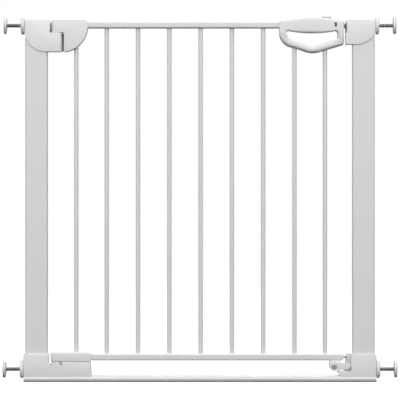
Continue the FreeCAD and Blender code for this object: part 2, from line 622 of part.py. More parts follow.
def thumb_slide():
    """The crowned button on top of the handle, its underside sloped to follow the handle's arc."""
    left, right = THUMB_X
    base = plate(
        outline((left, THUMB_TOP - 3.7), (left, THUMB_TOP - 1.4),
                (right, THUMB_TOP - 2.4, (left + right) / 2 - 1.0, THUMB_TOP), (right, THUMB_TOP - 5.0)),
        -THUMB_HALF_DEPTH, THUMB_HALF_DEPTH)
    stem = box(
        BOLT_ARM_X, (-BOLT_ARM_HALF_DEPTH, BOLT_ARM_HALF_DEPTH), (BOLT_ARM_TOP, THUMB_TOP - 2.0))
    return base.fuse(stem)


def indicator_flag():
    """The two-colour slip on the front of the bolt, seen through the window."""
    return box(FLAG_X, (-BOLT_HALF_DEPTH - 1.0, -BOLT_HALF_DEPTH), (BOLT_Z[0] + 0.6, BOLT_Z[1] + 0.6))


def indicator_window():
    """The clear pane in the handle's front shell."""
    return box(WINDOW_X, (-HANDLE_HALF_DEPTH + 0.4, -HANDLE_HALF_DEPTH + 1.8), WINDOW_Z)


def latch_spring():
    """The coil spring that pushes the bolt out."""
    helix = Part.makeHelix(SPRING_PITCH, SPRING_LENGTH - 2.0, SPRING_RADIUS)
    ring = Part.Wire([Part.Circle(Vector(SPRING_RADIUS, 0, 0), Y_AXIS, SPRING_WIRE).toShape()])
    coil = Part.Wire(helix.Edges).makePipeShell([ring], True, True)
    coil.rotate(Vector(0, 0, 0), Y_AXIS, 90)
    coil.translate(Vector(BOLT_X[0] - SPRING_LENGTH + 1.0, 0, (BOLT_Z[0] + BOLT_Z[1]) / 2))
    return coil


def build():
    """Every node of the gate, by name."""
    nodes = {
        "left_upright": upright(-1),
        "right_upright": upright(1),
        "threshold_bar": threshold_bar(),
        "threshold_end_caps": threshold_end_caps(),
        "left_boot": left_boot(),
        "right_boot": right_boot(),
        "lower_pivot_pin": lower_pivot_pin(),
        "upper_hinge_pin": upper_hinge_pin(),
        "frame_screws": frame_screws(),
        "top_rail": rail_tube(TOP_RAIL_X, (BAR_RAIL_LOW, BAR_RAIL_TOP)),
        "bottom_rail": rail_tube(LOW_RAIL_X, (LOW_RAIL_LOW, LOW_RAIL_TOP)),
        "hinge_foot": hinge_foot(),
        "rail_end_cap": rail_end_cap(),
        "catch_pin": catch_pin(),
        "stop_bracket": stop_bracket(),
        "stop_tongue": stop_tongue(),
        "stop_screw": stop_screw(),
        "leaf_screws": leaf_screws(),
        "latch_bolt": latch_bolt(),
        "thumb_slide": thumb_slide(),
        "indicator_flag": indicator_flag(),
        "indicator_window": indicator_window(),
        "latch_spring": latch_spring(),
    }
    nodes["hinge_housing_front"], nodes["hinge_housing_rear"] = hinge_housing()
    nodes["latch_housing_front"], nodes["latch_housing_rear"] = latch_housing()
    nodes["leaf_hinge_cover_front"], nodes["leaf_hinge_cover_rear"] = leaf_hinge_cover()
    nodes["handle_front_shell"], nodes["handle_rear_shell"] = handle_shells()
    tops = [BAR_RAIL_LOW] * (BAR_COUNT - 2) + list(LOOP_BAR_TOP)
    for index, (x, top) in enumerate(zip(bar_positions(), tops), start=1):
        nodes["bar_%d" % index] = bar(x, top)
    for side_name, side in (("left", -1), ("right", 1)):
        for level, z, bearing_x in (
                ("upper", SPINDLE_UPPER_Z, POST_OUTER_X + 1.2), ("lower", SPINDLE_LOWER_Z, BOOT_OUTER_X)):
            for name, piece in spindle_parts(side, z, bearing_x).items():
                nodes["%s_%s_%s" % (level, side_name, name)] = piece
    return nodes


def main():
    """Writes each node as a STEP file and says what it holds."""
    os.makedirs("parts", exist_ok=True)
    for name, shape in build().items():
        shape.exportStep("parts/%s.step" % name)
        solids = shape.Solids
        print("%-32s solids %d valid %s volume %.1f" % (name, len(solids), shape.isValid(), shape.Volume))


main()
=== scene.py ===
"""Looks of a pressure-fit safety gate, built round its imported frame.

Lengths are metres in the frame's own axes: X along the doorway from the hinge side to the latch
side, Y through it with the front at -Y, Z up from the floor.
"""

import json
import logging
import math
from dataclasses import dataclass, field
from enum import Enum
from typing import Any, Callable, ClassVar, Iterable, Sequence

import bmesh
import bpy
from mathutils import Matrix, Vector

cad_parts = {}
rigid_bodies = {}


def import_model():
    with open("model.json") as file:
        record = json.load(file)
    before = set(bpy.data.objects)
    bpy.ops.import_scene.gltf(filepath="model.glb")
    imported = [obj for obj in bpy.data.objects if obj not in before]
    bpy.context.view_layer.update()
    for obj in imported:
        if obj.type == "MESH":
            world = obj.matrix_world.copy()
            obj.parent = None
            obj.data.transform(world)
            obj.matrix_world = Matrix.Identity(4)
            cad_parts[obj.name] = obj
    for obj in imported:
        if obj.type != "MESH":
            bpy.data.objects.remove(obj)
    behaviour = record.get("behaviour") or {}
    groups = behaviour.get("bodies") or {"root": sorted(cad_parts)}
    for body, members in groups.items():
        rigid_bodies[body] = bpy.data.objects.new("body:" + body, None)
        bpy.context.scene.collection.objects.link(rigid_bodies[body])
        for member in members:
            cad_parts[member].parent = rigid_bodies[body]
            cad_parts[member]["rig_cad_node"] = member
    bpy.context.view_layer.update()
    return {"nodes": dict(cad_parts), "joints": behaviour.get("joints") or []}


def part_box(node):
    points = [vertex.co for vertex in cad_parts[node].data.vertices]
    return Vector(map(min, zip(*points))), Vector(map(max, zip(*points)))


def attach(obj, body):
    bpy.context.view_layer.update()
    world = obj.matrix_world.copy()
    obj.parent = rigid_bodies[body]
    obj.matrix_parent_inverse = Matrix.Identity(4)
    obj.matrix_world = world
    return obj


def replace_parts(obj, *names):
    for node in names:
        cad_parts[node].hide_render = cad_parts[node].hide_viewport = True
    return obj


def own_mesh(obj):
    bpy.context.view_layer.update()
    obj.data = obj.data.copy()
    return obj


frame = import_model()
LOG = logging.getLogger("safety_gate")

Point = tuple[float, float]
Colour = tuple[float, float, float]
Span = tuple[float, float]
Socket = bpy.types.NodeSocket
MM = 0.001


class Axis(Enum):
    """The line that a turned piece is centred on."""

    X = "x"
    Y = "y"
    Z = "z"


class Side(Enum):
    """The left or the right of the gate, as its outward sign on X."""

    LEFT = -1
    RIGHT = 1

    @property
    def word(self) -> str:
        """The side's name as the frame's nodes spell it."""
        return self.name.lower()


class Half(Enum):
    """Which shell of a casing: the sign of Y that it reaches towards."""

    FRONT = -1
    REAR = 1

    @property
    def word(self) -> str:
        """The half's name as the frame's nodes spell it."""
        return self.name.lower()


@dataclass(frozen=True)
class Extent:
    """The box round one or more nodes of the frame at rest."""

    low: Vector
    high: Vector

    @classmethod
    def of(cls, *nodes: str) -> "Extent":
        """Measures nodes.

        Args:
            nodes: names of nodes in the frame.

        Returns:
            The box that holds them all.
        """
        boxes = [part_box(node) for node in nodes]
        low = Vector([min(box[0][axis] for box in boxes) for axis in range(3)])
        high = Vector([max(box[1][axis] for box in boxes) for axis in range(3)])
        return cls(low, high)

    @property
    def middle(self) -> Vector:
        """The centre of the box."""
        return (self.low + self.high) / 2

    @property
    def size(self) -> Vector:
        """The box's length on each axis."""
        return self.high - self.low


# ---- node trees ------------------------------------------------------------------------------
class Graph:
    """A node tree, written one node at a time."""

    def __init__(self, tree: bpy.types.NodeTree) -> None:
        """Takes the tree to write in."""
        self.tree = tree

    def fill(self, node: bpy.types.Node, inputs: dict[Any, Any]) -> bpy.types.Node:
        """Links or sets a node's inputs.

        Args:
            node: the node.
            inputs: for each input, by name or number, a socket to link or a value to set.

        Returns:
            The same node.
        """
        for label, value in inputs.items():
            if isinstance(value, Socket):
                self.tree.links.new(value, node.inputs[label])
            else:
                node.inputs[label].default_value = value
        return node

    def add(self, kind: str, inputs: dict[Any, Any] | None = None, **settings: Any) -> bpy.types.Node:
        """Adds a node.

        Args:
            kind: the node's type name.
            inputs: for each input, by name or number, a socket to link or a value to set.
            settings: the node's own properties.

        Returns:
            The node.
        """
        node = self.tree.nodes.new(kind)
        for label, value in settings.items():
            setattr(node, label, value)
        return self.fill(node, inputs or {})

    def sum(self, operation: str, first: Any, second: Any) -> Socket:
        """Adds a Math node and returns its result's socket."""
        return self.add("ShaderNodeMath", {0: first, 1: second}, operation=operation).outputs[0]

    def mix(self, factor: Socket, base: Any, other: Any) -> Socket:
        """Adds a Mix node for two colours and returns its result's socket."""
        return self.add("ShaderNodeMix", {0: factor, 6: base, 7: other}, data_type="RGBA").outputs[2]


class Effect(Graph):
    """A shader node group that several finishes use. Each kind is built once."""

    def __init__(self, name: str, inputs: dict[str, Any], outputs: Sequence[str]) -> None:
        """Starts a group.

        Args:
            name: the group's name.
            inputs: input names with their defaults, a number or a colour.
            outputs: output names. A name that ends in Colour is a colour.
        """
        super().__init__(bpy.data.node_groups.new(name, "ShaderNodeTree"))
        for label, value in inputs.items():
            kind = "NodeSocketColor" if isinstance(value, tuple) else "NodeSocketFloat"
            socket = self.tree.interface.new_socket(label, in_out="INPUT", socket_type=kind)
            socket.default_value = (*value, 1.0) if isinstance(value, tuple) else value
        for label in outputs:
            kind = "NodeSocketColor" if label.endswith("Colour") else "NodeSocketFloat"
            self.tree.interface.new_socket(label, in_out="OUTPUT", socket_type=kind)
        self.given = self.add("NodeGroupInput").outputs
        self.result = self.add("NodeGroupOutput")
        self.place = self.add("ShaderNodeTexCoord").outputs["Object"]

    def ramp(self, source: Socket, span: Span) -> Socket:
        """Turns a span of values into 0 to 1, smoothly, and returns the result's socket."""
        inputs = {"Value": source, "From Min": span[0], "From Max": span[1]}
        return self.add("ShaderNodeMapRange", inputs, interpolation_type="SMOOTHSTEP").outputs["Result"]

    def noise(self, scale: Any, detail: float, roughness: float = 0.5) -> Socket:
        """Adds a noise over the object and returns its value's socket."""
        inputs = {"Vector": self.place, "Scale": scale, "Detail": detail, "Roughness": roughness}
        return self.add("ShaderNodeTexNoise", inputs).outputs["Fac"]

    def cover(self, where: Socket, span: Span, noise: Socket, breaks: Span) -> bpy.types.NodeTree:
        """Lays Over Colour on Base Colour where a value is high and a noise lets it.

        Args:
            where: the value that says where.
            span: its values for none and for all of the colour.
            noise: the noise that breaks the colour up.
            breaks: the noise's values for none and for all of the colour.

        Returns:
            The finished group.
        """
        patches = self.sum("MULTIPLY", self.ramp(where, span), self.ramp(noise, breaks))
        mask = self.sum("MULTIPLY", patches, self.given["Amount"])
        colour = self.mix(mask, self.given["Base Colour"], self.given["Over Colour"])
        self.fill(self.result, {"Colour": colour, "Mask": mask})
        return self.tree

    @classmethod
    def grain(cls) -> bpy.types.NodeTree:
        """A fine relief with a slow drift of tone over it.

        Returns:
            A group with inputs Frequency and Drift, and outputs Height and Tone.
        """
        name = "surface_grain"
        if name in bpy.data.node_groups:
            return bpy.data.node_groups[name]
        group = cls(name, {"Frequency": 900.0, "Drift": 9.0}, ("Height", "Tone"))
        tone = group.ramp(group.noise(group.given["Drift"], 2.0), (0.3, 0.7))
        group.fill(group.result, {"Height": group.noise(group.given["Frequency"], 3.0, 0.6), "Tone": tone})
        return group.tree

    @classmethod
    def wear(cls) -> bpy.types.NodeTree:
        """Edges rubbed to another colour, broken up by a noise.

        Returns:
            A group with inputs Base Colour, Over Colour and Amount, and outputs Colour and Mask.
        """
        name = "rubbed_edges"
        if name in bpy.data.node_groups:
            return bpy.data.node_groups[name]
        inputs = {"Base Colour": (0.8, 0.8, 0.8), "Over Colour": (0.5, 0.5, 0.5), "Amount": 0.5}
        group = cls(name, inputs, ("Colour", "Mask"))
        edges = group.add("ShaderNodeNewGeometry").outputs["Pointiness"]
        return group.cover(edges, (0.53, 0.62), group.noise(160.0, 4.0), (0.42, 0.62))

    @classmethod
    def dust(cls) -> bpy.types.NodeTree:
        """A thin film of house dust on faces that look up.

        Returns:
            A group with inputs Base Colour, Over Colour and Amount, and outputs Colour and Mask.
        """
        name = "settled_dust"
        if name in bpy.data.node_groups:
            return bpy.data.node_groups[name]
        inputs = {"Base Colour": (0.8, 0.8, 0.8), "Over Colour": (0.62, 0.6, 0.57), "Amount": 0.3}
        group = cls(name, inputs, ("Colour", "Mask"))
        facing = group.add("ShaderNodeNewGeometry").outputs["Normal"]
        upward = group.add("ShaderNodeSeparateXYZ", {"Vector": facing}).outputs["Z"]
        return group.cover(upward, (0.75, 1.0), group.noise(55.0, 5.0), (0.35, 0.75))


# ---- finishes --------------------------------------------------------------------------------
@dataclass(frozen=True)
class Finish:
    """A surface finish: its colour, how it shines, its grain and dust, and its edge colour, which is real
    wear on some finishes and a painted highlight on the white plastic.
    """

    name: str
    slot: str
    colour: Colour
    shade: Colour                       # the colour that the slow drift goes to
    roughness: float
    roughness_drift: float = 0.06
    metallic: float = 0.0
    coat: float = 0.0
    coat_roughness: float = 0.2
    specular: float = 0.5
    alpha: float = 1.0
    grain_frequency: float = 900.0      # grains per metre
    grain_height: float = 0.02 * MM
    # the colour laid on convex edges, and how much of it: rubbed metal on the zinc, grime on the wheels, a
    # painted highlight on the white plastic
    worn: Colour = (0.5, 0.5, 0.5)
    wear: float = 0.0
    dust: float = 0.0

    def tint(self, graph: Graph, colour: Socket) -> Socket:
        """The colour that a finish ends with. A plain finish keeps the one that it has."""
        return colour

    def material(self) -> bpy.types.Material:
        """Builds the finish once.

        Returns:
            The Blender material.
        """
        if self.name in bpy.data.materials:
            return bpy.data.materials[self.name]
        made = bpy.data.materials.new(self.name)
        made.use_nodes = True
        graph = Graph(made.node_tree)
        grain = graph.add(
            "ShaderNodeGroup", {"Frequency": self.grain_frequency}, node_tree=Effect.grain()).outputs
        colour = graph.mix(grain["Tone"], (*self.colour, 1.0), (*self.shade, 1.0))
        # convex edges take the edge colour: real wear on the zinc and the wheels, a painted highlight on the
        # white plastic
        if self.wear:
            inputs = {"Base Colour": colour, "Over Colour": (*self.worn, 1.0), "Amount": self.wear}
            colour = graph.add("ShaderNodeGroup", inputs, node_tree=Effect.wear()).outputs["Colour"]
        if self.dust:
            inputs = {"Base Colour": colour, "Amount": self.dust}
            colour = graph.add("ShaderNodeGroup", inputs, node_tree=Effect.dust()).outputs["Colour"]
        rough = graph.add("ShaderNodeMapRange", {
            "Value": grain["Tone"], "To Min": self.roughness - self.roughness_drift,
            "To Max": self.roughness + self.roughness_drift})
        bump = graph.add("ShaderNodeBump", {
            "Height": grain["Height"], "Strength": 1.0, "Distance": self.grain_height})
        graph.fill(made.node_tree.nodes["Principled BSDF"], {
            "Base Color": self.tint(graph, colour), "Roughness": rough.outputs["Result"],
            "Normal": bump.outputs["Normal"], "Metallic": self.metallic, "Alpha": self.alpha,
            "Specular IOR Level": self.specular, "Coat Weight": self.coat,
            "Coat Roughness": self.coat_roughness})
        return made

    def dress(self, *pieces: bpy.types.Object) -> None:
        """Gives pieces this finish in place of any other.

        Args:
            pieces: meshes, of the frame or built here.
        """
        for piece in pieces:
            piece.data.materials.clear()
            piece.data.materials.append(self.material())


@dataclass(frozen=True)
class TwoColourFinish(Finish):
    """A slip in one colour up to a line across X and in another beyond it."""

    line_x: float = 0.0
    other: Colour = (0.6, 0.03, 0.03)

    def tint(self, graph: Graph, colour: Socket) -> Socket:
        """Paints the second colour on the far side of the line.

        Args:
            graph: the material's nodes.
            colour: the first colour.

        Returns:
            The socket with both colours.
        """
        place = graph.add("ShaderNodeTexCoord").outputs["Object"]
        along = graph.add("ShaderNodeSeparateXYZ", {"Vector": place}).outputs["X"]
        blur = 0.05 * MM
        beyond = graph.add("ShaderNodeMapRange", {
            "Value": along, "From Min": self.line_x - blur, "From Max": self.line_x + blur})
        return graph.mix(beyond.outputs["Result"], colour, (*self.other, 1.0))


POWDER_COAT = Finish(
    "white_powder_coat", "white_steel", (0.760, 0.762, 0.764), (0.735, 0.737, 0.740), roughness=0.36,
    coat=0.15, coat_roughness=0.25, grain_frequency=520.0, grain_height=0.035 * MM, dust=0.10)
# its edge colour is lighter than the plastic itself: a painted highlight along every convex edge
WHITE_PLASTIC = Finish(
    "white_moulded_plastic", "white_plastic", (0.800, 0.800, 0.798), (0.775, 0.776, 0.776),
    roughness=0.44, grain_frequency=1500.0, grain_height=0.025 * MM, worn=(0.88, 0.88, 0.88),
    wear=0.35, dust=0.12)
WHEEL_PLASTIC = Finish(
    "white_wheel_plastic", "wheel_plastic", (0.810, 0.810, 0.808), (0.780, 0.780, 0.780),
    roughness=0.30, coat=0.1, grain_frequency=1100.0, grain_height=0.012 * MM,
    worn=(0.66, 0.65, 0.63), wear=0.30, dust=0.10)
DARK_ZINC = Finish(
    "dark_zinc_steel", "dark_steel", (0.270, 0.270, 0.276), (0.190, 0.190, 0.197), roughness=0.42,
    roughness_drift=0.10, metallic=0.75, grain_frequency=700.0, grain_height=0.012 * MM,
    worn=(0.55, 0.55, 0.55), wear=0.6)
BRIGHT_ZINC = Finish(
    "bright_zinc_steel", "screw_steel", (0.460, 0.460, 0.465), (0.370, 0.370, 0.378), roughness=0.36,
    roughness_drift=0.08, metallic=0.85, grain_frequency=900.0, grain_height=0.010 * MM,
    worn=(0.75, 0.75, 0.75), wear=0.6)
SATIN_ZINC = Finish(
    "satin_zinc_steel", "screw_steel", (0.560, 0.560, 0.565), (0.480, 0.480, 0.488), roughness=0.42,
    roughness_drift=0.08, metallic=0.35, grain_frequency=900.0, grain_height=0.010 * MM,
    worn=(0.75, 0.75, 0.75), wear=0.5)
PAD_RUBBER = Finish(
    "soft_pad_rubber", "pad_rubber", (0.640, 0.640, 0.632), (0.580, 0.580, 0.572), roughness=0.72,
    specular=0.3, grain_frequency=2200.0, grain_height=0.03 * MM, dust=0.15)
CLEAR_WINDOW = Finish(
    "clear_window_plastic", "clear_window", (0.060, 0.120, 0.070), (0.050, 0.100, 0.060), roughness=0.06,
    roughness_drift=0.03, alpha=0.08, grain_frequency=60.0, grain_height=0.002 * MM)


# ---- mesh making -----------------------------------------------------------------------------
def arc(start: Point, via: Point, end: Point, steps: int) -> list[Point]:
    """Points on the circle through three points.

    Args:
        start: where the arc starts; not in the result.
        via: a point on the way.
        end: where it ends; the last point of the result.
        steps: how many stretches the arc is cut into.

    Returns:
        The points after start, in order.
    """
    (ax, ay), (bx, by), (cx, cy) = start, via, end
    area = 2 * (ax * (by - cy) + bx * (cy - ay) + cx * (ay - by))
    squares = (ax * ax + ay * ay, bx * bx + by * by, cx * cx + cy * cy)
    ox = (squares[0] * (by - cy) + squares[1] * (cy - ay) + squares[2] * (ay - by)) / area
    oy = (squares[0] * (cx - bx) + squares[1] * (ax - cx) + squares[2] * (bx - ax)) / area
    radius = math.hypot(ax - ox, ay - oy)
    first = math.atan2(ay - oy, ax - ox)
    through = (math.atan2(by - oy, bx - ox) - first) % math.tau
    sweep = (math.atan2(cy - oy, cx - ox) - first) % math.tau
    if through > sweep:
        sweep -= math.tau
    turns = [first + sweep * index / steps for index in range(1, steps + 1)]
    return [(ox + radius * math.cos(turn), oy + radius * math.sin(turn)) for turn in turns]


@dataclass
class Outline:
    """A closed outline made of lines and arcs, in millimetres from a corner of its piece."""

    corner: Point
    points: list[Point] = field(default_factory=list)

    def to(self, *stops: Point) -> "Outline":
        """Carries the outline on with straight lines.

        Args:
            stops: the ends of the lines.

        Returns:
            The same outline.
        """
        self.points.extend(stops)
        return self

    def round(self, end: Point, via: Point, steps: int = 14) -> "Outline":
        """Carries the outline on with an arc.

        Args:
            end: where the arc ends.
            via: a point that it passes through.
            steps: how many stretches the arc is cut into.

        Returns:
            The same outline.
        """
        self.points.extend(arc(self.points[-1], via, end, steps))
        return self

    def metres(self) -> list[Point]:
        """The outline's points in metres, in the frame's axes.

        Returns:
            The points in order.
        """
        clean: list[Point] = []
        for x, z in self.points:
            point = (self.corner[0] + x * MM, self.corner[1] + z * MM)
            if not clean or math.dist(point, clean[-1]) > 0.02 * MM:
                clean.append(point)
        if math.dist(clean[0], clean[-1]) < 0.02 * MM:
            clean.pop()
        return clean


class Mesher:
    """Makes, cuts and finishes meshes."""

    @staticmethod
    def piece(name: str, mesh: bpy.types.Mesh) -> bpy.types.Object:
        """Puts a mesh in the scene as an object at the origin.

        Args:
            name: the object's name.
            mesh: its mesh.

        Returns:
            The object.
        """
        made = bpy.data.objects.new(name, mesh)
        bpy.context.scene.collection.objects.link(made)
        return made

    @classmethod
    def from_bmesh(cls, name: str, shape: bmesh.types.BMesh) -> bpy.types.Object:
        """Turns a bmesh into an object with outward faces.

        Args:
            name: the object's name.
            shape: the bmesh; it is freed.

        Returns:
            The object.
        """
        bmesh.ops.recalc_face_normals(shape, faces=shape.faces)
        mesh = bpy.data.meshes.new(name)
        shape.to_mesh(mesh)
        shape.free()
        return cls.piece(name, mesh)

    @classmethod
    def prism(cls, name: str, points: Sequence[Point], low: float, high: float,
              axis: Axis = Axis.Y) -> bpy.types.Object:
        """Carries an outline along one axis.

        Args:
            name: the object's name.
            points: the outline; X and Z across the Y axis, X and Y across Z, Y and Z across X.
            low: where it starts along the axis.
            high: where it ends.
            axis: the axis.

        Returns:
            A closed solid.
        """
        places: dict[Axis, Callable[[float, float, float], Vector]] = {
            Axis.X: lambda a, b, along: Vector((along, a, b)),
            Axis.Y: lambda a, b, along: Vector((a, along, b)),
            Axis.Z: lambda a, b, along: Vector((a, b, along)),
        }
        shape = bmesh.new()
        rings = []
        for along in (low, high):
            rings.append([shape.verts.new(places[axis](a, b, along)) for a, b in points])
            shape.faces.new(rings[-1])
        for index, vertex in enumerate(rings[0]):
            following = (index + 1) % len(points)
            shape.faces.new((vertex, rings[0][following], rings[1][following], rings[1][index]))
        return cls.from_bmesh(name, shape)

    @classmethod
    def block(cls, name: str, low: Sequence[float], high: Sequence[float]) -> bpy.types.Object:
        """A plain block between two corners, for cutting.

        Args:
            name: the object's name.
            low: its lowest corner.
            high: its highest corner.

        Returns:
            A closed solid.
        """
        points = [(low[0], low[2]), (high[0], low[2]), (high[0], high[2]), (low[0], high[2])]
        return cls.prism(name, points, low[1], high[1])

    @classmethod
    def turned(cls, name: str, profile: Sequence[Point], centre: Sequence[float], axis: Axis,
               steps: int = 64) -> bpy.types.Object:
        """Turns a profile about an axis.

        Args:
            name: the object's name.
            profile: (distance along the axis, radius) pairs; an end with radius 0 closes in a point.
            centre: a point on the axis, from which the distances count.
            axis: the axis.
            steps: how many facets go round.

        Returns:
            A closed solid, or a closed ring if the profile's ends meet.
        """
        shape = bmesh.new()
        order = {Axis.X: (0, 1, 2), Axis.Y: (1, 2, 0), Axis.Z: (2, 0, 1)}[axis]
        ring_count = len(profile)
        closed = math.dist(profile[0], profile[-1]) < 1e-9
        if closed:
            ring_count -= 1
        rings: list[list[bmesh.types.BMVert]] = []
        for along, radius in profile[:ring_count]:
            ring = []
            for step in range(1 if radius < 1e-9 else steps):
                turn = math.tau * step / steps
                place = [0.0, 0.0, 0.0]
                place[order[0]] = centre[order[0]] + along
                place[order[1]] = centre[order[1]] + radius * math.cos(turn)
                place[order[2]] = centre[order[2]] + radius * math.sin(turn)
                ring.append(shape.verts.new(place))
            rings.append(ring)
        pairs = list(zip(rings, rings[1:]))
        if closed:
            pairs.append((rings[-1], rings[0]))
        for one, other in pairs:
            for step in range(steps):
                following = (step + 1) % steps
                if len(one) == 1:
                    shape.faces.new((one[0], other[step], other[following]))
                elif len(other) == 1:
                    shape.faces.new((one[step], one[following], other[0]))
                else:
                    shape.faces.new((one[step], one[following], other[following], other[step]))
        return cls.from_bmesh(name, shape)

    @staticmethod
    def freeze(piece: bpy.types.Object) -> bpy.types.Object:
        """Applies an object's modifiers to its mesh.

        Args:
            piece: the object.

        Returns:
            The same object with no modifier.
        """
        graph = bpy.context.evaluated_depsgraph_get()
        mesh = bpy.data.meshes.new_from_object(piece.evaluated_get(graph), depsgraph=graph)
        old = piece.data
        piece.modifiers.clear()
        piece.data = mesh
        mesh.name = piece.name
        bpy.data.meshes.remove(old)
        return piece

    @classmethod
    def combine(cls, piece: bpy.types.Object, tools: Iterable[bpy.types.Object],
                operation: str = "DIFFERENCE") -> bpy.types.Object:
        """Cuts, joins or intersects a solid with others, which are used up.

        Args:
            piece: the solid that stays.
            tools: the solids to combine it with, one after another.
            operation: DIFFERENCE, UNION or INTERSECT.

        Returns:
            The same object.
        """
        for tool in tools:
            change = piece.modifiers.new("change", "BOOLEAN")
            change.operation = operation
            change.solver = "EXACT"
            change.object = tool
            cls.freeze(piece)
            mesh = tool.data
            bpy.data.objects.remove(tool)
            bpy.data.meshes.remove(mesh)
        return piece

    @classmethod
    def soften(cls, piece: bpy.types.Object, radius: float, segments: int = 3,
               light: Callable[[Vector, Vector], float] | None = None) -> bpy.types.Object:
        """Rounds a solid's sharp edges.

        Args:
            piece: the solid.
            radius: the widest rounding.
            segments: how many facets go round an edge.
            light: given an edge's two ends, the share of the radius that it takes; all take it
                whole if there is none.

        Returns:
            The same object.
        """
        shape = bmesh.new()
        shape.from_mesh(piece.data)
        bmesh.ops.remove_doubles(shape, verts=shape.verts, dist=0.01 * MM)
        bmesh.ops.dissolve_limit(
            shape, angle_limit=math.radians(0.4), verts=shape.verts, edges=shape.edges)
        weights = shape.edges.layers.float.new("bevel_weight_edge")
        for edge in shape.edges:
            if len(edge.link_faces) == 2 and edge.calc_face_angle(0.0) > math.radians(33):
                ends = [vertex.co for vertex in edge.verts]
                edge[weights] = light(*ends) if light else 1.0
        shape.to_mesh(piece.data)
        shape.free()
        bevel = piece.modifiers.new("soften", "BEVEL")
        bevel.limit_method = "WEIGHT"
        bevel.width = radius
        bevel.segments = segments
        bevel.use_clamp_overlap = True
        return cls.freeze(piece)

    @staticmethod
    def smooth(piece: bpy.types.Object, angle: float = 32.0) -> bpy.types.Object:
        """Shades a piece smooth, but for its sharp edges.

        Args:
            piece: the object.
            angle: the least angle of a sharp edge, in degrees.

        Returns:
            The same object.
        """
        piece.data.shade_smooth()
        piece.data.set_sharp_from_angle(angle=math.radians(angle))
        return piece


# ---- geometry node recipes -------------------------------------------------------------------
class Recipe(Graph):
    """A Geometry Nodes tree with named inputs, run to give plain meshes."""

    KINDS: ClassVar[dict[type, str]] = {
        float: "NodeSocketFloat", int: "NodeSocketInt", Vector: "NodeSocketVector",
        bpy.types.Object: "NodeSocketObject", bpy.types.Material: "NodeSocketMaterial"}

    def __init__(self, name: str, inputs: dict[str, type]) -> None:
        """Starts a tree.

        Args:
            name: the tree's name.
            inputs: the name and type of each input, besides the geometry that comes in.
        """
        super().__init__(bpy.data.node_groups.new(name, "GeometryNodeTree"))
        self.tree.is_modifier = True
        self.tree.interface.new_socket("Geometry", in_out="INPUT", socket_type="NodeSocketGeometry")
        for label, kind in inputs.items():
            self.tree.interface.new_socket(label, in_out="INPUT", socket_type=self.KINDS[kind])
        self.tree.interface.new_socket("Geometry", in_out="OUTPUT", socket_type="NodeSocketGeometry")
        self.source = self.tree.nodes.new("NodeGroupInput").outputs
        self.result = self.tree.nodes.new("NodeGroupOutput").inputs["Geometry"]

    def close(self, geometry: Socket) -> "Recipe":
        """Ends the tree with realised, smooth geometry in the Finish input's material.

        Args:
            geometry: what the tree has made.

        Returns:
            The same recipe.
        """
        real = self.add("GeometryNodeRealizeInstances", {"Geometry": geometry})
        even = self.add("GeometryNodeSetShadeSmooth", {"Geometry": real.outputs[0]})
        dressed = self.add(
            "GeometryNodeSetMaterial", {"Geometry": even.outputs[0], "Material": self.source["Finish"]})
        self.tree.links.new(dressed.outputs[0], self.result)
        return self

    def run(self, name: str, places: Sequence[Sequence[float]], values: dict[str, Any]) -> bpy.types.Object:
        """Runs the tree over a set of points.

        Args:
            name: the new object's name.
            places: the points that go in as loose vertices; one at the origin if there are none.
            values: each input's value.

        Returns:
            A plain mesh object with no modifier.
        """
        mesh = bpy.data.meshes.new(name)
        mesh.from_pydata([tuple(place) for place in places] or [(0.0, 0.0, 0.0)], [], [])
        piece = Mesher.piece(name, mesh)
        modifier = piece.modifiers.new("recipe", "NODES")
        modifier.node_group = self.tree
        for item in self.tree.interface.items_tree:
            if item.in_out == "INPUT" and item.name in values:
                value = values[item.name]
                modifier[item.identifier] = tuple(value) if isinstance(value, Vector) else value
        return Mesher.freeze(piece)


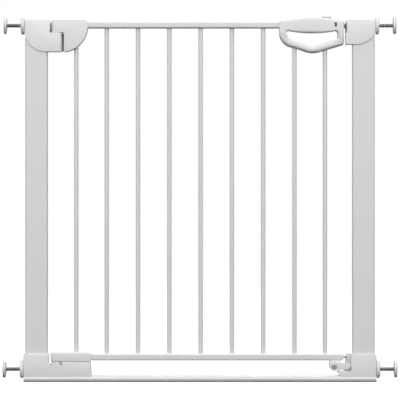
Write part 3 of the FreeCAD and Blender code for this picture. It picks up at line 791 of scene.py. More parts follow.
class Recipes:
    """The gate's repeated details. Each tree is built once, on first use."""

    _made: ClassVar[dict[str, Recipe]] = {}

    @classmethod
    def _once(cls, name: str, build: Callable[[], Recipe]) -> Recipe:
        """Builds a recipe the first time that it is asked for.

        Args:
            name: the recipe's key.
            build: what builds it.

        Returns:
            The recipe.
        """
        if name not in cls._made:
            cls._made[name] = build()
        return cls._made[name]

    @classmethod
    def thread(cls) -> Recipe:
        """A threaded rod along X: a core with a ridge wound round it.

        Returns:
            The recipe. It goes from Start along X for Length.
        """
        def build() -> Recipe:
            """Lays out the tree.

            Returns:
                The finished recipe.
            """
            recipe = Recipe("threaded_rod", {
                "Start": Vector, "Length": float, "Radius": float, "Pitch": float, "Depth": float,
                "Finish": bpy.types.Material})
            given = recipe.source
            root = recipe.sum("SUBTRACT", given["Radius"], given["Depth"])
            rise = recipe.sum("SUBTRACT", given["Length"], given["Pitch"])
            turns = recipe.sum("DIVIDE", rise, given["Pitch"])
            spiral = recipe.add("GeometryNodeCurveSpiral", {
                "Resolution": 28, "Rotations": turns, "Start Radius": root, "End Radius": root,
                "Height": rise})
            upright = recipe.add("GeometryNodeSetCurveNormal", {"Curve": spiral.outputs[0]}, mode="Z_UP")
            ridge = recipe.add("GeometryNodeCurvePrimitiveCircle", {
                "Resolution": 4, "Radius": given["Depth"]})
            wound = recipe.add("GeometryNodeCurveToMesh", {
                "Curve": upright.outputs[0], "Profile Curve": ridge.outputs[0], "Fill Caps": True})
            half_pitch = recipe.sum("MULTIPLY", given["Pitch"], 0.5)
            lift = recipe.add("ShaderNodeCombineXYZ", {"Z": half_pitch})
            raised = recipe.add("GeometryNodeTransform", {
                "Geometry": wound.outputs[0], "Translation": lift.outputs[0]})
            core_radius = recipe.sum("ADD", root, 0.05 * MM)
            core = recipe.add("GeometryNodeMeshCylinder", {
                "Vertices": 40, "Radius": core_radius, "Depth": given["Length"]})
            middle = recipe.add("ShaderNodeCombineXYZ", {"Z": recipe.sum("MULTIPLY", given["Length"], 0.5)})
            seated = recipe.add("GeometryNodeTransform", {
                "Geometry": core.outputs["Mesh"], "Translation": middle.outputs[0]})
            both = recipe.add("GeometryNodeJoinGeometry")
            recipe.tree.links.new(raised.outputs[0], both.inputs[0])
            recipe.tree.links.new(seated.outputs[0], both.inputs[0])
            laid = recipe.add("GeometryNodeTransform", {
                "Geometry": both.outputs[0], "Translation": given["Start"],
                "Rotation": (0.0, math.pi / 2, 0.0)})
            return recipe.close(laid.outputs[0])
        return cls._once("thread", build)

    @classmethod
    def copies(cls) -> Recipe:
        """A pattern piece set at every point that comes in.

        Returns:
            The recipe. Pattern is the object to repeat, made round the origin.
        """
        def build() -> Recipe:
            """Lays out the tree.

            Returns:
                The finished recipe.
            """
            recipe = Recipe("repeated_piece", {
                "Pattern": bpy.types.Object, "Turn": Vector, "Finish": bpy.types.Material})
            pattern = recipe.add("GeometryNodeObjectInfo", {"Object": recipe.source["Pattern"]})
            points = recipe.add("GeometryNodeMeshToPoints", {"Mesh": recipe.source["Geometry"]})
            turned = recipe.add("FunctionNodeEulerToRotation", {"Euler": recipe.source["Turn"]})
            placed = recipe.add("GeometryNodeInstanceOnPoints", {
                "Points": points.outputs[0], "Instance": pattern.outputs["Geometry"],
                "Rotation": turned.outputs[0]})
            return recipe.close(placed.outputs[0])
        return cls._once("copies", build)

    @classmethod
    def ring_of_ribs(cls) -> Recipe:
        """Grip ribs round a wheel that is centred on the X axis.

        Returns:
            The recipe. Each rib lies along X on a circle of Radius.
        """
        def build() -> Recipe:
            """Lays out the tree.

            Returns:
                The finished recipe.
            """
            recipe = Recipe("ring_of_ribs", {
                "Centre": Vector, "Radius": float, "Count": int, "Rib Radius": float,
                "Rib Length": float, "Finish": bpy.types.Material})
            given = recipe.source
            circle = recipe.add("GeometryNodeCurvePrimitiveCircle", {
                "Resolution": given["Count"], "Radius": given["Radius"]})
            points = recipe.add("GeometryNodeCurveToPoints", {"Curve": circle.outputs[0]}, mode="EVALUATED")
            rib = recipe.add("GeometryNodeMeshUVSphere", {
                "Segments": 10, "Rings": 8, "Radius": given["Rib Radius"]})
            half = recipe.sum("MULTIPLY", given["Rib Length"], 0.5)
            stretch = recipe.add("ShaderNodeCombineXYZ", {
                "X": 1.0, "Y": 1.0, "Z": recipe.sum("DIVIDE", half, given["Rib Radius"])})
            placed = recipe.add("GeometryNodeInstanceOnPoints", {
                "Points": points.outputs["Points"], "Instance": rib.outputs["Mesh"],
                "Scale": stretch.outputs[0]})
            laid = recipe.add("GeometryNodeTransform", {
                "Geometry": placed.outputs[0], "Translation": given["Centre"],
                "Rotation": (0.0, math.pi / 2, 0.0)})
            return recipe.close(laid.outputs[0])
        return cls._once("ribs", build)

    @classmethod
    def row(cls) -> Recipe:
        """A straight row of a pattern piece, such as the ribs of a thumb grip.

        Returns:
            The recipe. The row goes from Start by Step, Count times.
        """
        def build() -> Recipe:
            """Lays out the tree.

            Returns:
                The finished recipe.
            """
            recipe = Recipe("row_of_pieces", {
                "Pattern": bpy.types.Object, "Start": Vector, "Step": Vector, "Count": int,
                "Finish": bpy.types.Material})
            given = recipe.source
            pattern = recipe.add("GeometryNodeObjectInfo", {"Object": given["Pattern"]})
            line = recipe.add("GeometryNodeMeshLine", {
                "Count": given["Count"], "Start Location": given["Start"], "Offset": given["Step"]})
            points = recipe.add("GeometryNodeMeshToPoints", {"Mesh": line.outputs[0]})
            placed = recipe.add("GeometryNodeInstanceOnPoints", {
                "Points": points.outputs[0], "Instance": pattern.outputs["Geometry"]})
            return recipe.close(placed.outputs[0])
        return cls._once("row", build)


# ---- casings ---------------------------------------------------------------------------------
SEAM = 0.12 * MM                        # half the parting line between two shells
CORNER = 1 - math.sqrt(0.5)             # where a quarter round passes its corner, as a share of its radius
CAM_SLOPE = 5.0 / 10.8                  # rise over run of the hinge's cam
SCREW_DEPTH = 0.6 * MM                  # how far a casing's screws lie under its back


def wedge(half_width: float, bottom: float, top: float) -> list[Point]:
    """The cam's V, seen along X.

    Args:
        half_width: its reach in front and behind.
        bottom: the height of its lowest line.
        top: the height at which it is cut off.

    Returns:
        The outline's points.
    """
    shoulder = bottom + half_width * CAM_SLOPE
    return [(-half_width, shoulder), (0.0, bottom), (half_width, shoulder),
            (half_width, top), (-half_width, top)]


def rod_profile(start: float, end: float, radius: float) -> list[Point]:
    """The profile of a plain rod between two places along its axis."""
    return [(start, 0.0), (start, radius), (end, radius), (end, 0.0)]


def seam_light(first: Vector, second: Vector) -> float:
    """A casing's edges are rounded whole in front and behind, and lightly along its seam."""
    return 0.22 if max(abs(first.y), abs(second.y)) < 0.5 * MM else 1.0


@dataclass
class Casing:
    """Two moulded shells that close on each other at Y = 0."""

    name: str
    body: str
    outline: Outline
    half_depth: float
    edge: float = 1.1 * MM
    knuckle: tuple[float, float] | None = None    # where the rounded end is, and its radius
    finish: Finish = WHITE_PLASTIC

    def plan(self, points: Sequence[Point]) -> bpy.types.Object:
        """A tall solid whose one end is rounded in plan.

        Args:
            points: the casing's outline in metres, for its reach.

        Returns:
            The solid that the casing is trimmed to.
        """
        end, radius = self.knuckle
        low_x = min(x for x, _ in points) - 1 * MM
        high_x = max(x for x, _ in points) + 1 * MM
        away = high_x if abs(end - low_x) < abs(end - high_x) else low_x
        turn = 1 if away > end else -1
        depth = self.half_depth + 0.5 * MM
        bend = radius * CORNER
        flat = end + turn * radius
        plan = Outline((0.0, 0.0), [(flat / MM, -self.half_depth / MM)])
        plan.round((end / MM, -(self.half_depth - radius) / MM),
                   ((end + turn * bend) / MM, -(self.half_depth - bend) / MM), 10)
        plan.to((end / MM, (self.half_depth - radius) / MM))
        plan.round((flat / MM, self.half_depth / MM),
                   ((end + turn * bend) / MM, (self.half_depth - bend) / MM), 10)
        plan.to((flat / MM, depth / MM), (away / MM, depth / MM), (away / MM, -depth / MM),
                (flat / MM, -depth / MM))
        low_z = min(z for _, z in points) - 1 * MM
        high_z = max(z for _, z in points) + 1 * MM
        return Mesher.prism("plan", plan.metres(), low_z, high_z, Axis.Z)

    def shell(self, half: Half, rooms: Sequence[bpy.types.Object],
              webs: Sequence[bpy.types.Object] = ()) -> bpy.types.Object:
        """Makes one shell.

        Args:
            half: front or rear.
            rooms: solids to cut out of it; they are used up.
            webs: solids to join to it first; they are used up too.

        Returns:
            The shell, dressed, riding on its body.
        """
        points = self.outline.metres()
        ends = sorted((half.value * SEAM, half.value * self.half_depth))
        shell = Mesher.prism(f"{self.name}_{half.word}_moulding", points, *ends)
        if self.knuckle:
            Mesher.combine(shell, [self.plan(points)], "INTERSECT")
        Mesher.soften(shell, self.edge, 4, seam_light)
        Mesher.combine(shell, webs, "UNION")
        Mesher.combine(shell, rooms)
        Mesher.smooth(shell)
        self.finish.dress(shell)
        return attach(shell, self.body)


@dataclass
class Screws:
    """Cross-head screws that close a casing from behind."""

    head_radius: float = 3.5 * MM
    head_height: float = 1.9 * MM
    recess: float = 1.1 * MM

    def pattern(self) -> bpy.types.Object:
        """One screw head round the origin, looking along +Y, with a stub of its shank.

        Returns:
            The piece that every screw of a set is a copy of.
        """
        radius, height = self.head_radius, self.head_height
        profile = [(0.0, 0.0), (0.0, 0.62 * radius), (-0.12 * height, 0.80 * radius),
                   (-0.38 * height, 0.95 * radius), (-0.62 * height, radius), (-height, radius),
                   (-height, 0.42 * radius), (-3.2 * height, 0.42 * radius), (-3.2 * height, 0.0)]
        head = Mesher.turned("screw_pattern", profile, (0, 0, 0), Axis.Y, 32)
        for wide, tall in ((0.62, 0.13), (0.13, 0.62)):
            wing = Mesher.block(
                "wing", (-wide * radius, -self.recess, -tall * radius),
                (wide * radius, self.recess, tall * radius))
            Mesher.combine(head, [wing])
        return head

    def rooms(self, places: Sequence[Vector]) -> list[bpy.types.Object]:
        """Counterbores for screws.

        Args:
            places: where each head's face is.

        Returns:
            One solid for each place.
        """
        drop = Vector((0, self.head_height + 0.1 * MM, 0))
        profile = rod_profile(0.0, 9 * MM, self.head_radius + 0.35 * MM)
        return [Mesher.turned("counterbore", profile, place - drop, Axis.Y, 36) for place in places]

    def fit(self, name: str, body: str, places: Sequence[Vector], *nodes: str) -> bpy.types.Object:
        """Sets a screw at each place, in place of the frame's plain ones.

        Args:
            name: the piece's name.
            body: the body that the screws ride on.
            places: where each head's face is.
            nodes: the frame's nodes that they stand for.

        Returns:
            One object with all the screws.
        """
        pattern = self.pattern()
        made = Recipes.copies().run(name, places, {
            "Pattern": pattern, "Turn": Vector((0, 0, 0)), "Finish": BRIGHT_ZINC.material()})
        bpy.data.objects.remove(pattern)
        Mesher.smooth(made, 35)
        BRIGHT_ZINC.dress(made)
        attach(made, body)
        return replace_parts(made, *nodes)


@dataclass
class Upright:
    """A flat steel tube at one side of the doorway."""

    side: Side

    def dress(self) -> None:
        """Gives the tube its powder coat."""
        POWDER_COAT.dress(frame["nodes"][f"{self.side.word}_upright"])

    def room(self, gap: float = 0.08 * MM) -> bpy.types.Object:
        """The socket that a casing needs for the tube.

        Args:
            gap: the room left round the tube.

        Returns:
            The solid to cut out.
        """
        extent = Extent.of(f"{self.side.word}_upright")
        low, high = extent.low, extent.high
        radius = 5 * MM
        plan = Outline((0.0, 0.0), [((low.x - gap) / MM, (low.y + radius) / MM)])
        corners = ((low.x - gap, low.y - gap, 1, 1), (high.x + gap, low.y - gap, -1, 1),
                   (high.x + gap, high.y + gap, -1, -1), (low.x - gap, high.y + gap, 1, -1))
        for index, (x, y, right, up) in enumerate(corners):
            along = (x + right * radius, y)
            across = (x, y + up * radius)
            enter, leave = (across, along) if index % 2 == 0 else (along, across)
            bend = radius * CORNER
            plan.to((enter[0] / MM, enter[1] / MM))
            plan.round((leave[0] / MM, leave[1] / MM),
                       ((x + right * bend) / MM, (y + up * bend) / MM), 6)
        return Mesher.prism("socket", plan.metres(), 2 * MM, high.z, Axis.Z)


@dataclass
class Pivot:
    """A steel hinge pin of the frame, and the bore that runs on it."""

    node: str
    gap: float = 0.06 * MM

    @property
    def centre(self) -> Vector:
        """The pin's middle."""
        return Extent.of(self.node).middle

    def dress(self) -> None:
        """Gives the pin its zinc."""
        DARK_ZINC.dress(frame["nodes"][self.node])

    def room(self, low: float, high: float) -> bpy.types.Object:
        """The bore between two heights."""
        radius = Extent.of(self.node).size.x / 2 + self.gap
        return Mesher.turned("bore", rod_profile(low, high, radius), (self.centre.x, 0, 0), Axis.Z, 48)


@dataclass
class WallSpindle:
    """One corner's adjusting wheel, threaded spindle, cup and rubber pad."""

    side: Side
    level: str
    pitch: float = 1.25 * MM
    thread_depth: float = 0.42 * MM
    rib_count: int = 36

    @property
    def label(self) -> str:
        """The corner's name as the frame's nodes spell it."""
        return f"{self.level}_{self.side.word}"

    def _turned(self, node: str, profile: Sequence[Point], name: str, finish: Finish,
                body: str) -> bpy.types.Object:
        """Turns a profile outwards from a node's inner face and puts it in the node's place.

        Args:
            node: the node that it stands for.
            profile: (distance outwards, radius) pairs.
            name: the piece's name.
            finish: its finish.
            body: the body that it rides on.

        Returns:
            The piece.
        """
        extent = Extent.of(node)
        start = extent.low.x if self.side is Side.RIGHT else extent.high.x
        sign = self.side.value
        placed = [(sign * along, radius) for along, radius in profile]
        made = Mesher.turned(name, placed, (start, 0.0, extent.middle.z), Axis.X, 96)
        Mesher.smooth(made, 34)
        finish.dress(made)
        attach(made, body)
        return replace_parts(made, node)

    def wheel(self) -> None:
        """A disc with a full round rim, a raised hub and fine grip ribs."""
        node = f"{self.label}_adjusting_wheel"
        body = f"{self.label}_wheel"
        extent = Extent.of(node)
        thick, radius = extent.size.x, extent.size.z / 2
        bore = Extent.of(f"{self.label}_spindle").size.z / 2 + 0.07 * MM
        rim = radius - 0.35 * MM
        rounding = thick * 0.46
        profile: list[Point] = [(0.0, bore), (0.0, rim - rounding)]
        for step in range(1, 15):
            turn = math.pi * step / 15
            profile.append((thick / 2 - thick / 2 * math.cos(turn),
                            rim - rounding + rounding * math.sin(turn)))
        profile += [(thick, rim - rounding), (thick, rim - rounding - 1.2 * MM)]
        profile += [(thick - 0.5 * MM, rim - rounding - 2.0 * MM),
                    (thick - 0.9 * MM, rim - rounding - 3.2 * MM)]
        profile += [(thick - 0.9 * MM, 8.6 * MM), (thick - 0.4 * MM, 8.0 * MM), (thick, 7.4 * MM)]
        profile += [(thick, bore + 0.6 * MM), (thick - 0.5 * MM, bore), (0.0, bore)]
        self._turned(node, profile, f"{self.label}_wheel_disc", WHEEL_PLASTIC, body)
        ribs = Recipes.ring_of_ribs().run(f"{self.label}_wheel_ribs", [], {
            "Centre": extent.middle, "Radius": radius - 1.05 * MM, "Count": self.rib_count,
            "Rib Radius": 0.95 * MM, "Rib Length": thick * 0.74, "Finish": WHEEL_PLASTIC.material()})
        WHEEL_PLASTIC.dress(ribs)
        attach(ribs, body)

    def spindle(self) -> None:
        """A rolled thread from end to end."""
        node = f"{self.label}_spindle"
        extent = Extent.of(node)
        start = Vector((extent.low.x, 0.0, extent.middle.z))
        made = Recipes.thread().run(f"{self.label}_threaded_rod", [], {
            "Start": start, "Length": extent.size.x, "Radius": extent.size.z / 2,
            "Pitch": self.pitch, "Depth": self.thread_depth, "Finish": DARK_ZINC.material()})
        Mesher.smooth(made, 40)
        DARK_ZINC.dress(made)
        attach(made, f"{self.label}_spindle")
        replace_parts(made, node)

    def pad(self) -> None:
        """A dished cup with a rubber face that is grooved in rings."""
        cup = Extent.of(f"{self.label}_pad_cup")
        thick, radius = cup.size.x, cup.size.z / 2
        profile: list[Point] = [(0.0, 0.0), (0.0, 7.4 * MM), (0.3 * MM, 7.9 * MM), (0.8 * MM, 8.3 * MM)]
        profile += [(0.8 * MM, radius - 3.4 * MM), (0.4 * MM, radius - 2.9 * MM), (0.0, radius - 2.2 * MM)]
        profile += arc(profile[-1], (0.42 * MM, radius - 0.72 * MM), (1.5 * MM, radius - 0.05 * MM), 6)
        profile += [(thick - 0.3 * MM, radius), (thick, radius - 0.3 * MM), (thick, 0.0)]
        body = f"{self.label}_spindle"
        self._turned(f"{self.label}_pad_cup", profile, f"{self.label}_cup", WHEEL_PLASTIC, body)
        face = Extent.of(f"{self.label}_pad_face")
        thick = face.size.x
        rings: list[Point] = [(0.0, 0.0), (0.0, radius - 0.5 * MM), (0.4 * MM, radius - 0.1 * MM)]
        rings += [(thick - 0.5 * MM, radius - 0.1 * MM), (thick, radius - 0.6 * MM)]
        for step in range(5):
            outer = radius - (2.0 + 2.6 * step) * MM
            rings += [(thick, outer), (thick - 0.5 * MM, outer - 0.25 * MM)]
            rings += [(thick - 0.5 * MM, outer - 0.85 * MM), (thick, outer - 1.1 * MM)]
        rings += [(thick, 0.0)]
        self._turned(f"{self.label}_pad_face", rings, f"{self.label}_rubber", PAD_RUBBER, body)

    def room(self) -> bpy.types.Object:
        """The bore that a casing needs for the spindle.

        Returns:
            The solid to cut out.
        """
        extent = Extent.of(f"{self.label}_spindle")
        wheel = Extent.of(f"{self.label}_adjusting_wheel")
        radius = extent.size.z / 2 + 0.1 * MM
        ends = sorted((self.side.value * (abs(extent.middle.x) - 60 * MM), wheel.middle.x))
        centre = (0.0, 0.0, extent.middle.z)
        return Mesher.turned("spindle_bore", rod_profile(*ends, radius), centre, Axis.X, 40)

    def build(self) -> None:
        """Makes the corner's three pieces."""
        self.wheel()
        self.spindle()
        self.pad()


@dataclass
class HingeCorner:
    """The upper hinge: the frame's housing, the leaf's cover, and the pin through both."""

    knuckle_round: float = 6.5 * MM
    knuckle_height: float = 40.2        # of the housing's knuckle, in millimetres
    pin: Pivot = field(default_factory=lambda: Pivot("upper_hinge_pin"))
    screws: Screws = field(default_factory=Screws)

    def web(self, low_x: float, high_x: float, low_z: float, high_z: float) -> bpy.types.Object:
        """A thin wall at the back, which closes a hinge gap to the eye.

        Args:
            low_x: where it starts, in millimetres from the pin.
            high_x: where it ends, from the same.
            low_z: its lower edge.
            high_z: its upper edge.

        Returns:
            The wall.
        """
        back = Extent.of("hinge_housing_rear").high.y
        pin_x = self.pin.centre.x
        wall = Mesher.block("web", (pin_x + low_x * MM, back - 1.5 * MM, low_z),
                            (pin_x + high_x * MM, back - 0.2 * MM, high_z))
        return Mesher.soften(wall, 0.25 * MM, 2)

    def housing(self) -> None:
        """The casing on the left upright, with a quarter-round lower corner and the knuckle."""
        box = Extent.of("hinge_housing_front", "hinge_housing_rear")
        wide, tall = box.size.x / MM, box.size.z / MM
        wall = (self.pin.centre.x - box.low.x) / MM - 14.0
        curve = 44.4
        bend = curve * CORNER
        outline = Outline((box.low.x, box.low.z), [(0.0, curve)])
        outline.to((0.0, tall - 0.4), (0.4, tall), (wall - 0.4, tall), (wall, tall - 0.4))
        outline.to((wall, self.knuckle_height), (wide, self.knuckle_height), (wide, 0.0), (curve, 0.0))
        outline.round((0.0, curve), (bend, bend), 22)
        casing = Casing("hinge_housing", "frame", outline, box.high.y,
                        knuckle=(box.high.x, self.knuckle_round))
        spindle = WallSpindle(Side.LEFT, "upper")
        for half in Half:
            rooms = [Upright(Side.LEFT).room(), self.pin.room(Extent.of(self.pin.node).low.z - 1 * MM, 1.0),
                     spindle.room()]
            webs = []
            if half is Half.REAR:
                rooms += self.screws.rooms(self.housing_screws())
                webs = [self.web(-16.0, -7.7, box.low.z + 39.2 * MM, box.high.z - 1.5 * MM)]
            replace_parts(casing.shell(half, rooms, webs), f"hinge_housing_{half.word}")

    def housing_screws(self) -> list[Vector]:
        """Where the housing's screw is."""
        box = Extent.of("hinge_housing_rear")
        return [Vector((box.low.x + 55.9 * MM, box.high.y - SCREW_DEPTH, box.low.z + 33.4 * MM))]

    def cover(self) -> None:
        """The leaf's casing, with a rounded upper knuckle and a sweeping lower edge."""
        box = Extent.of("leaf_hinge_cover_front", "leaf_hinge_cover_rear")
        wide, tall = box.size.x / MM, box.size.z / MM
        step, under = 25.4, 41.1
        outline = Outline((box.low.x, box.low.z), [(0.0, under)])
        outline.to((0.0, tall - 0.4), (0.4, tall), (wide - 9.7, tall))
        outline.round((wide, tall - 5.3), (wide - 4.3, tall - 1.1), 8)
        outline.to((wide, 53.2)).round((29.8, 0.5), (wide - 15.6, 17.4), 24)
        outline.to((step + 2.0, 0.0), (step, 1.6), (step, under))
        casing = Casing("leaf_hinge_cover", "leaf", outline, box.high.y,
                        knuckle=(box.low.x, self.knuckle_round))
        for half in Half:
            rooms = [self.pin.room(0.6, Extent.of(self.pin.node).high.z + 0.4 * MM)]
            webs = []
            if half is Half.REAR:
                rooms += self.screws.rooms(self.cover_screws())
                webs = [self.web(10.0, 19.0, box.low.z + 2.0 * MM, box.low.z + 40.2 * MM)]
            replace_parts(casing.shell(half, rooms, webs), f"leaf_hinge_cover_{half.word}")

    def cover_screws(self) -> list[Vector]:
        """Where the cover's two screws are.

        Returns:
            The middle of each head's face.
        """
        box = Extent.of("leaf_hinge_cover_rear")
        depth = box.size.y - SCREW_DEPTH
        return [box.low + Vector((x * MM, depth, z * MM)) for x, z in ((34.7, 16.9), (61.7, 43.4))]

    def build(self) -> None:
        """Makes both casings and dresses the pin."""
        self.housing()
        self.cover()
        self.pin.dress()


@dataclass
class LatchHousing:
    """The casing on the right upright that takes the latch bolt."""

    screws: Screws = field(default_factory=Screws)

    def places(self) -> list[Vector]:
        """Where the two screws are."""
        box = Extent.of("latch_housing_rear")
        return [box.low + Vector((9 * MM, box.size.y - SCREW_DEPTH, z * MM)) for z in (28.8, 7.3)]

    def build(self) -> None:
        """Makes both shells, with a notch and a pocket at the bolt's height."""
        box = Extent.of("latch_housing_front", "latch_housing_rear")
        bolt = Extent.of("latch_bolt")
        wide, tall = box.size.x / MM, box.size.z / MM
        outline = Outline((box.low.x, box.low.z), [(0.0, tall - 0.4)])
        outline.to((0.4, tall), (wide - 0.4, tall), (wide, tall - 0.4), (wide, 22.8))
        outline.round((18.6, 0.0), (44.4, 6.2), 20).to((1.2, 0.0), (0.0, 1.2))
        casing = Casing("latch_housing", "frame", outline, box.high.y)
        spindle = WallSpindle(Side.RIGHT, "upper")
        for half in Half:
            notch = Mesher.block(
                "notch", (box.low.x - 2 * MM, -0.05, box.low.z + 24.4 * MM),
                (box.low.x + 2.4 * MM, 8 * MM, box.high.z + 5 * MM))
            pocket = Mesher.block(
                "pocket", (box.low.x - 2 * MM, -4.1 * MM, bolt.low.z - 0.8 * MM),
                (bolt.high.x + 1.2 * MM, 4.1 * MM, bolt.low.z + 10.8 * MM))
            rooms = [Upright(Side.RIGHT).room(), notch, pocket, spindle.room()]
            if half is Half.REAR:
                rooms += self.screws.rooms(self.places())
            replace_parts(casing.shell(half, rooms), f"latch_housing_{half.word}")


@dataclass
class Boots:
    """The two moulded feet that hold the uprights on the threshold bar."""

    pin: Pivot = field(default_factory=lambda: Pivot("lower_pivot_pin"))
    edge: float = 0.8 * MM
    recess_back: float = 6.0 * MM      # how far back the recess for the stop goes

    def _finish(self, name: str, points: Sequence[Point], node: str,
                rooms: Sequence[bpy.types.Object]) -> None:
        """Makes one boot from its outline and cuts its rooms.

        Args:
            name: the boot's name.
            points: its outline in metres.
            node: the node that it stands for.
            rooms: solids to cut out of it; they are used up.
        """
        box = Extent.of(node)
        boot = Mesher.prism(name, points, box.low.y, box.high.y)
        Mesher.soften(boot, self.edge, 4)
        Mesher.combine(boot, [self._sill_room(), *rooms])
        Mesher.smooth(boot)
        WHITE_PLASTIC.dress(boot)
        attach(boot, "frame")
        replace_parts(boot, node)

    @staticmethod
    def _sill_room() -> bpy.types.Object:
        """The flat-oval groove in which a boot sits astride the threshold bar.

        Returns:
            The solid to cut out.
        """
        box = Extent.of("threshold_end_caps")
        gap = 0.08 * MM
        radius = box.size.z / 2
        reach = box.high.y - radius
        section: list[Point] = []
        for step in range(33):
            turn = math.tau * step / 32 - math.pi / 2
            side = 1 if step <= 16 else -1
            section.append((side * reach + (radius + gap) * math.cos(turn),
                            radius + (radius + gap) * math.sin(turn)))
        section.pop()
        return Mesher.prism("sill_room", section, box.low.x - 0.01, box.high.x + 0.01, Axis.X)

    def left(self) -> None:
        """The hinge-side boot, with the grooved cam seat and the step under the leaf."""
        box = Extent.of("left_boot")
        tall = box.size.z / MM
        inner, seat_right, step_top, right = 51.8, 81.0, 31.6, box.size.x / MM
        outline = Outline((box.low.x, box.low.z), [(0.0, 0.0)])
        outline.to((0.0, tall), (inner, tall), (inner, 27.6), (seat_right, 27.6), (seat_right, step_top))
        outline.to((right - 2.8, step_top), (right, 0.0))
        seat = Extent.of("hinge_foot").low.z - 0.1 * MM
        cam = Mesher.prism("cam_groove", wedge(20 * MM, seat, 70 * MM), box.low.x + (inner + 3.7) * MM,
                           box.low.x + seat_right * MM, Axis.X)
        rooms = [cam, Upright(Side.LEFT).room(), WallSpindle(Side.LEFT, "lower").room(),
                 Pivot(self.pin.node, 0.0).room(Extent.of(self.pin.node).low.z, 0.1)]
        self._finish("left_boot_moulding", outline.metres(), "left_boot", rooms)

    def right(self) -> None:
        """The latch-side boot, with the recess for the stop and the slot for the catch pin."""
        box = Extent.of("right_boot")
        pin = Extent.of("catch_pin")
        wide, tall = box.size.x / MM, box.size.z / MM
        outline = Outline((box.low.x, box.low.z), [(wide, 0.0)])
        outline.to((wide, tall - 6.0)).round((wide - 5.0, tall), (wide - 1.6, tall - 1.9), 8)
        outline.to((18.0, tall), (18.0, 16.5), (14.0, 12.5), (3.0, 12.5), (0.0, 9.5), (6.0, 3.0), (8.0, 0.0))
        face = box.low.x + 29.6 * MM
        shelf = box.low.z + 12.5 * MM
        recess = Mesher.block("recess", (box.low.x + 8 * MM, -0.03, shelf), (face, self.recess_back, 0.08))
        slot = Mesher.block(
            "slot", (box.low.x + 8 * MM, -0.03, pin.low.z - 0.4 * MM),
            (pin.high.x + 0.4 * MM, pin.high.y + 0.4 * MM, pin.high.z + 0.6 * MM))
        rooms = [recess, slot, Upright(Side.RIGHT).room(), WallSpindle(Side.RIGHT, "lower").room()]
        self._finish("right_boot_moulding", outline.metres(), "right_boot", rooms)

    def build(self) -> None:
        """Makes both boots and dresses the pin."""
        self.left()
        self.right()
        self.pin.dress()


@dataclass
class Leaf:
    """The leaf's rails and bars, with the welds that join them."""

    bar_count: int = 9

    def weld_pattern(self) -> bpy.types.Object:
        """A slightly uneven fillet of weld round a bar's foot, looking up.

        Returns:
            The piece that every weld is a copy of.
        """
        radius = Extent.of("bar_1").size.x / 2
        profile = [(0.0, radius - 0.1 * MM), (0.0, radius + 0.55 * MM), (0.15 * MM, radius + 0.40 * MM),
                   (0.35 * MM, radius + 0.18 * MM), (0.65 * MM, radius + 0.05 * MM),
                   (0.8 * MM, radius - 0.1 * MM), (0.0, radius - 0.1 * MM)]
        return Mesher.turned("weld_pattern", profile, (0, 0, 0), Axis.Z, 40)

    def welds(self) -> None:
        """A fillet at both ends of each bar that meets a rail."""
        bars = [Extent.of(f"bar_{number}") for number in range(1, self.bar_count + 1)]
        rail_low = Extent.of("top_rail").low.z
        feet = [(bar.middle.x, 0.0, bar.low.z) for bar in bars]
        heads = [(bar.middle.x, 0.0, bar.high.z) for bar in bars if abs(bar.high.z - rail_low) < 1 * MM]
        for name, places, turn in (("lower_welds", feet, 0.0), ("upper_welds", heads, math.pi)):
            pattern = self.weld_pattern()
            made = Recipes.copies().run(name, places, {
                "Pattern": pattern, "Turn": Vector((turn, 0, 0)), "Finish": POWDER_COAT.material()})
            bpy.data.objects.remove(pattern)
            POWDER_COAT.dress(made)
            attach(made, "leaf")

    def end_cap(self) -> None:
        """The plug in the bottom rail's free end, bevelled below."""
        rail = Extent.of("bottom_rail")
        cap = Extent.of("rail_end_cap")
        wide = (cap.high.x - rail.high.x) / MM
        tall = rail.size.z / MM
        outline = Outline((rail.high.x, rail.low.z), [(0.0, 0.0), (0.0, tall), (wide, tall)])
        outline.to((wide, 4.0), (0.6, 0.0))
        plug = Mesher.prism("rail_end_plug", outline.metres(), rail.low.y, rail.high.y)
        Mesher.soften(plug, 0.9 * MM, 3)
        Mesher.smooth(plug)
        WHITE_PLASTIC.dress(plug)
        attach(plug, "leaf")
        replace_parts(plug, "rail_end_cap")

    def build(self) -> None:
        """Dresses the tubes and adds their welds and end plug."""
        bars = [f"bar_{number}" for number in range(1, self.bar_count + 1)]
        POWDER_COAT.dress(*[frame["nodes"][node] for node in ["top_rail", "bottom_rail", *bars]])
        DARK_ZINC.dress(frame["nodes"]["catch_pin"])
        self.welds()
        self.end_cap()


